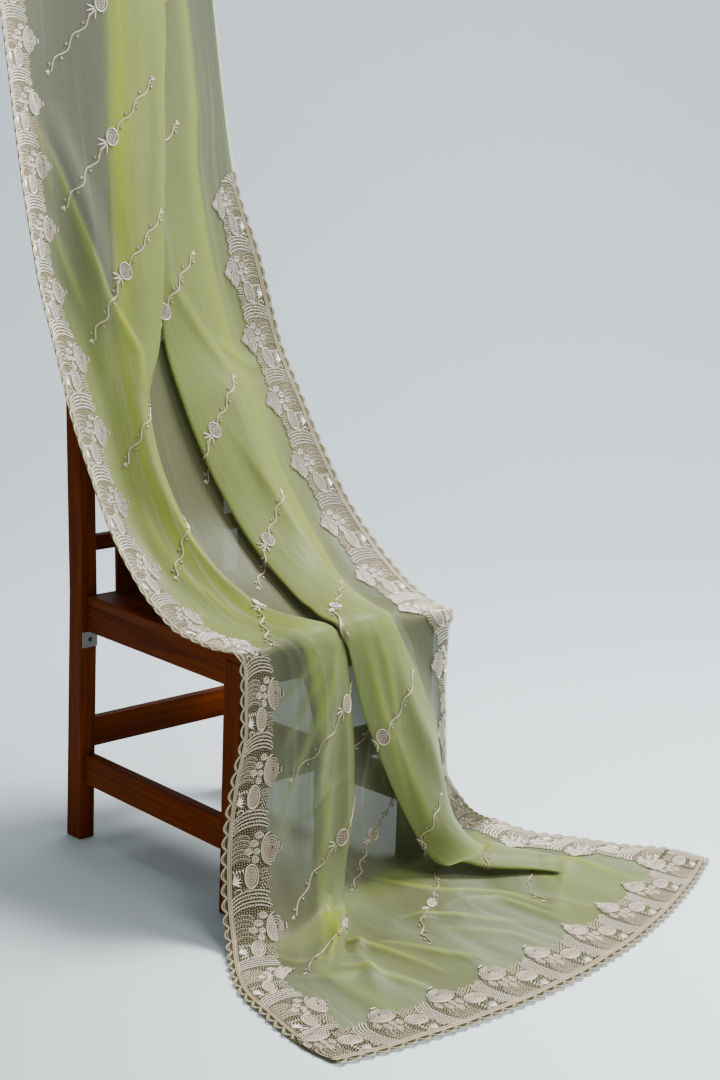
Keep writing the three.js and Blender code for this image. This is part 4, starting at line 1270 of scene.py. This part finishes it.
def make_stage():
    """A sheet that lies flat, turns up in a quarter circle and stands, square to the camera."""
    angle = np.radians(np.linspace(0, 90, 25))
    ahead = np.concatenate([[SHEET_FRONT], SHEET_BEND + BEND_RADIUS * np.sin(angle),
                            [SHEET_BEND + BEND_RADIUS]])
    up = np.concatenate([[0.0], BEND_RADIUS - BEND_RADIUS * np.cos(angle), [SHEET_TOP]])
    up -= UNDER_FEET
    side = np.array([SHEET_SIDE, -SHEET_SIDE])
    points = (ahead[:, None, None] * AHEAD + side[None, :, None] * ASIDE
              + up[:, None, None] * (0, 0, 1))
    sheet = make_mesh("backdrop", points.reshape(-1, 3), grid_faces(len(ahead), 2))
    material, shader, v = new_material("backdrop")
    place = v.node("ShaderNodeTexCoord", out=3)
    depth, aside = (v.node("ShaderNodeVectorMath", {"operation": "DOT_PRODUCT"},
                           {0: place, 1: tuple(way)}, out=1) for way in (AHEAD, ASIDE))
    # The sheet turns darker and bluer towards the wall, and near the camera its floor has a painted
    # shadow, darker to the left.
    far = (depth + 1.2).between(0.0, 3.0)
    near_with_painted_shadow = aside.between(-1.0, 0.5).mix((0.52, 0.585, 0.60, 1), (0.87, 0.975, 0.99, 1))
    drive(shader, base_color=far.mix(near_with_painted_shadow, (0.60, 0.68, 0.72, 1)), roughness=0.95,
          specular_ior_level=0.0)
    sheet.data.materials.append(material)


make_stage()


def area_light(name, aside, ahead, up, aim, size, power):
    """A square soft light at metres to the right, ahead and up, as the camera sees it."""
    place = aside * ASIDE + ahead * AHEAD + (0, 0, up)
    data = bpy.data.lights.new(name, "AREA")
    data.size = size
    data.energy = power
    light = bpy.data.objects.new(name, data)
    light.location = place.tolist()
    turn = (Vector(aim) - Vector(place.tolist())).to_track_quat("-Z", "Y")
    light.rotation_euler = turn.to_euler()
    bpy.context.collection.objects.link(light)


area_light("key", 1.8, 0.9, 3.8, (0.0, 0.0, 0.5), 1.5, 335)
area_light("upper", 0.9, -1.5, 2.9, (-0.1, 0.3, 1.3), 0.9, 26)
area_light("wall", 0.0, 1.8, 4.8, (1.6, 3.2, 1.0), 2.4, 92)
area_light("floor", 2.6, -0.6, 2.0, (1.3, -1.9, 0.0), 1.2, 45)
world = bpy.data.worlds.new("world")
bpy.context.scene.world = world
world.use_nodes = True
world.node_tree.nodes["Background"].inputs[0].default_value = (0.80, 0.87, 0.92, 1)
world.node_tree.nodes["Background"].inputs[1].default_value = 0.30
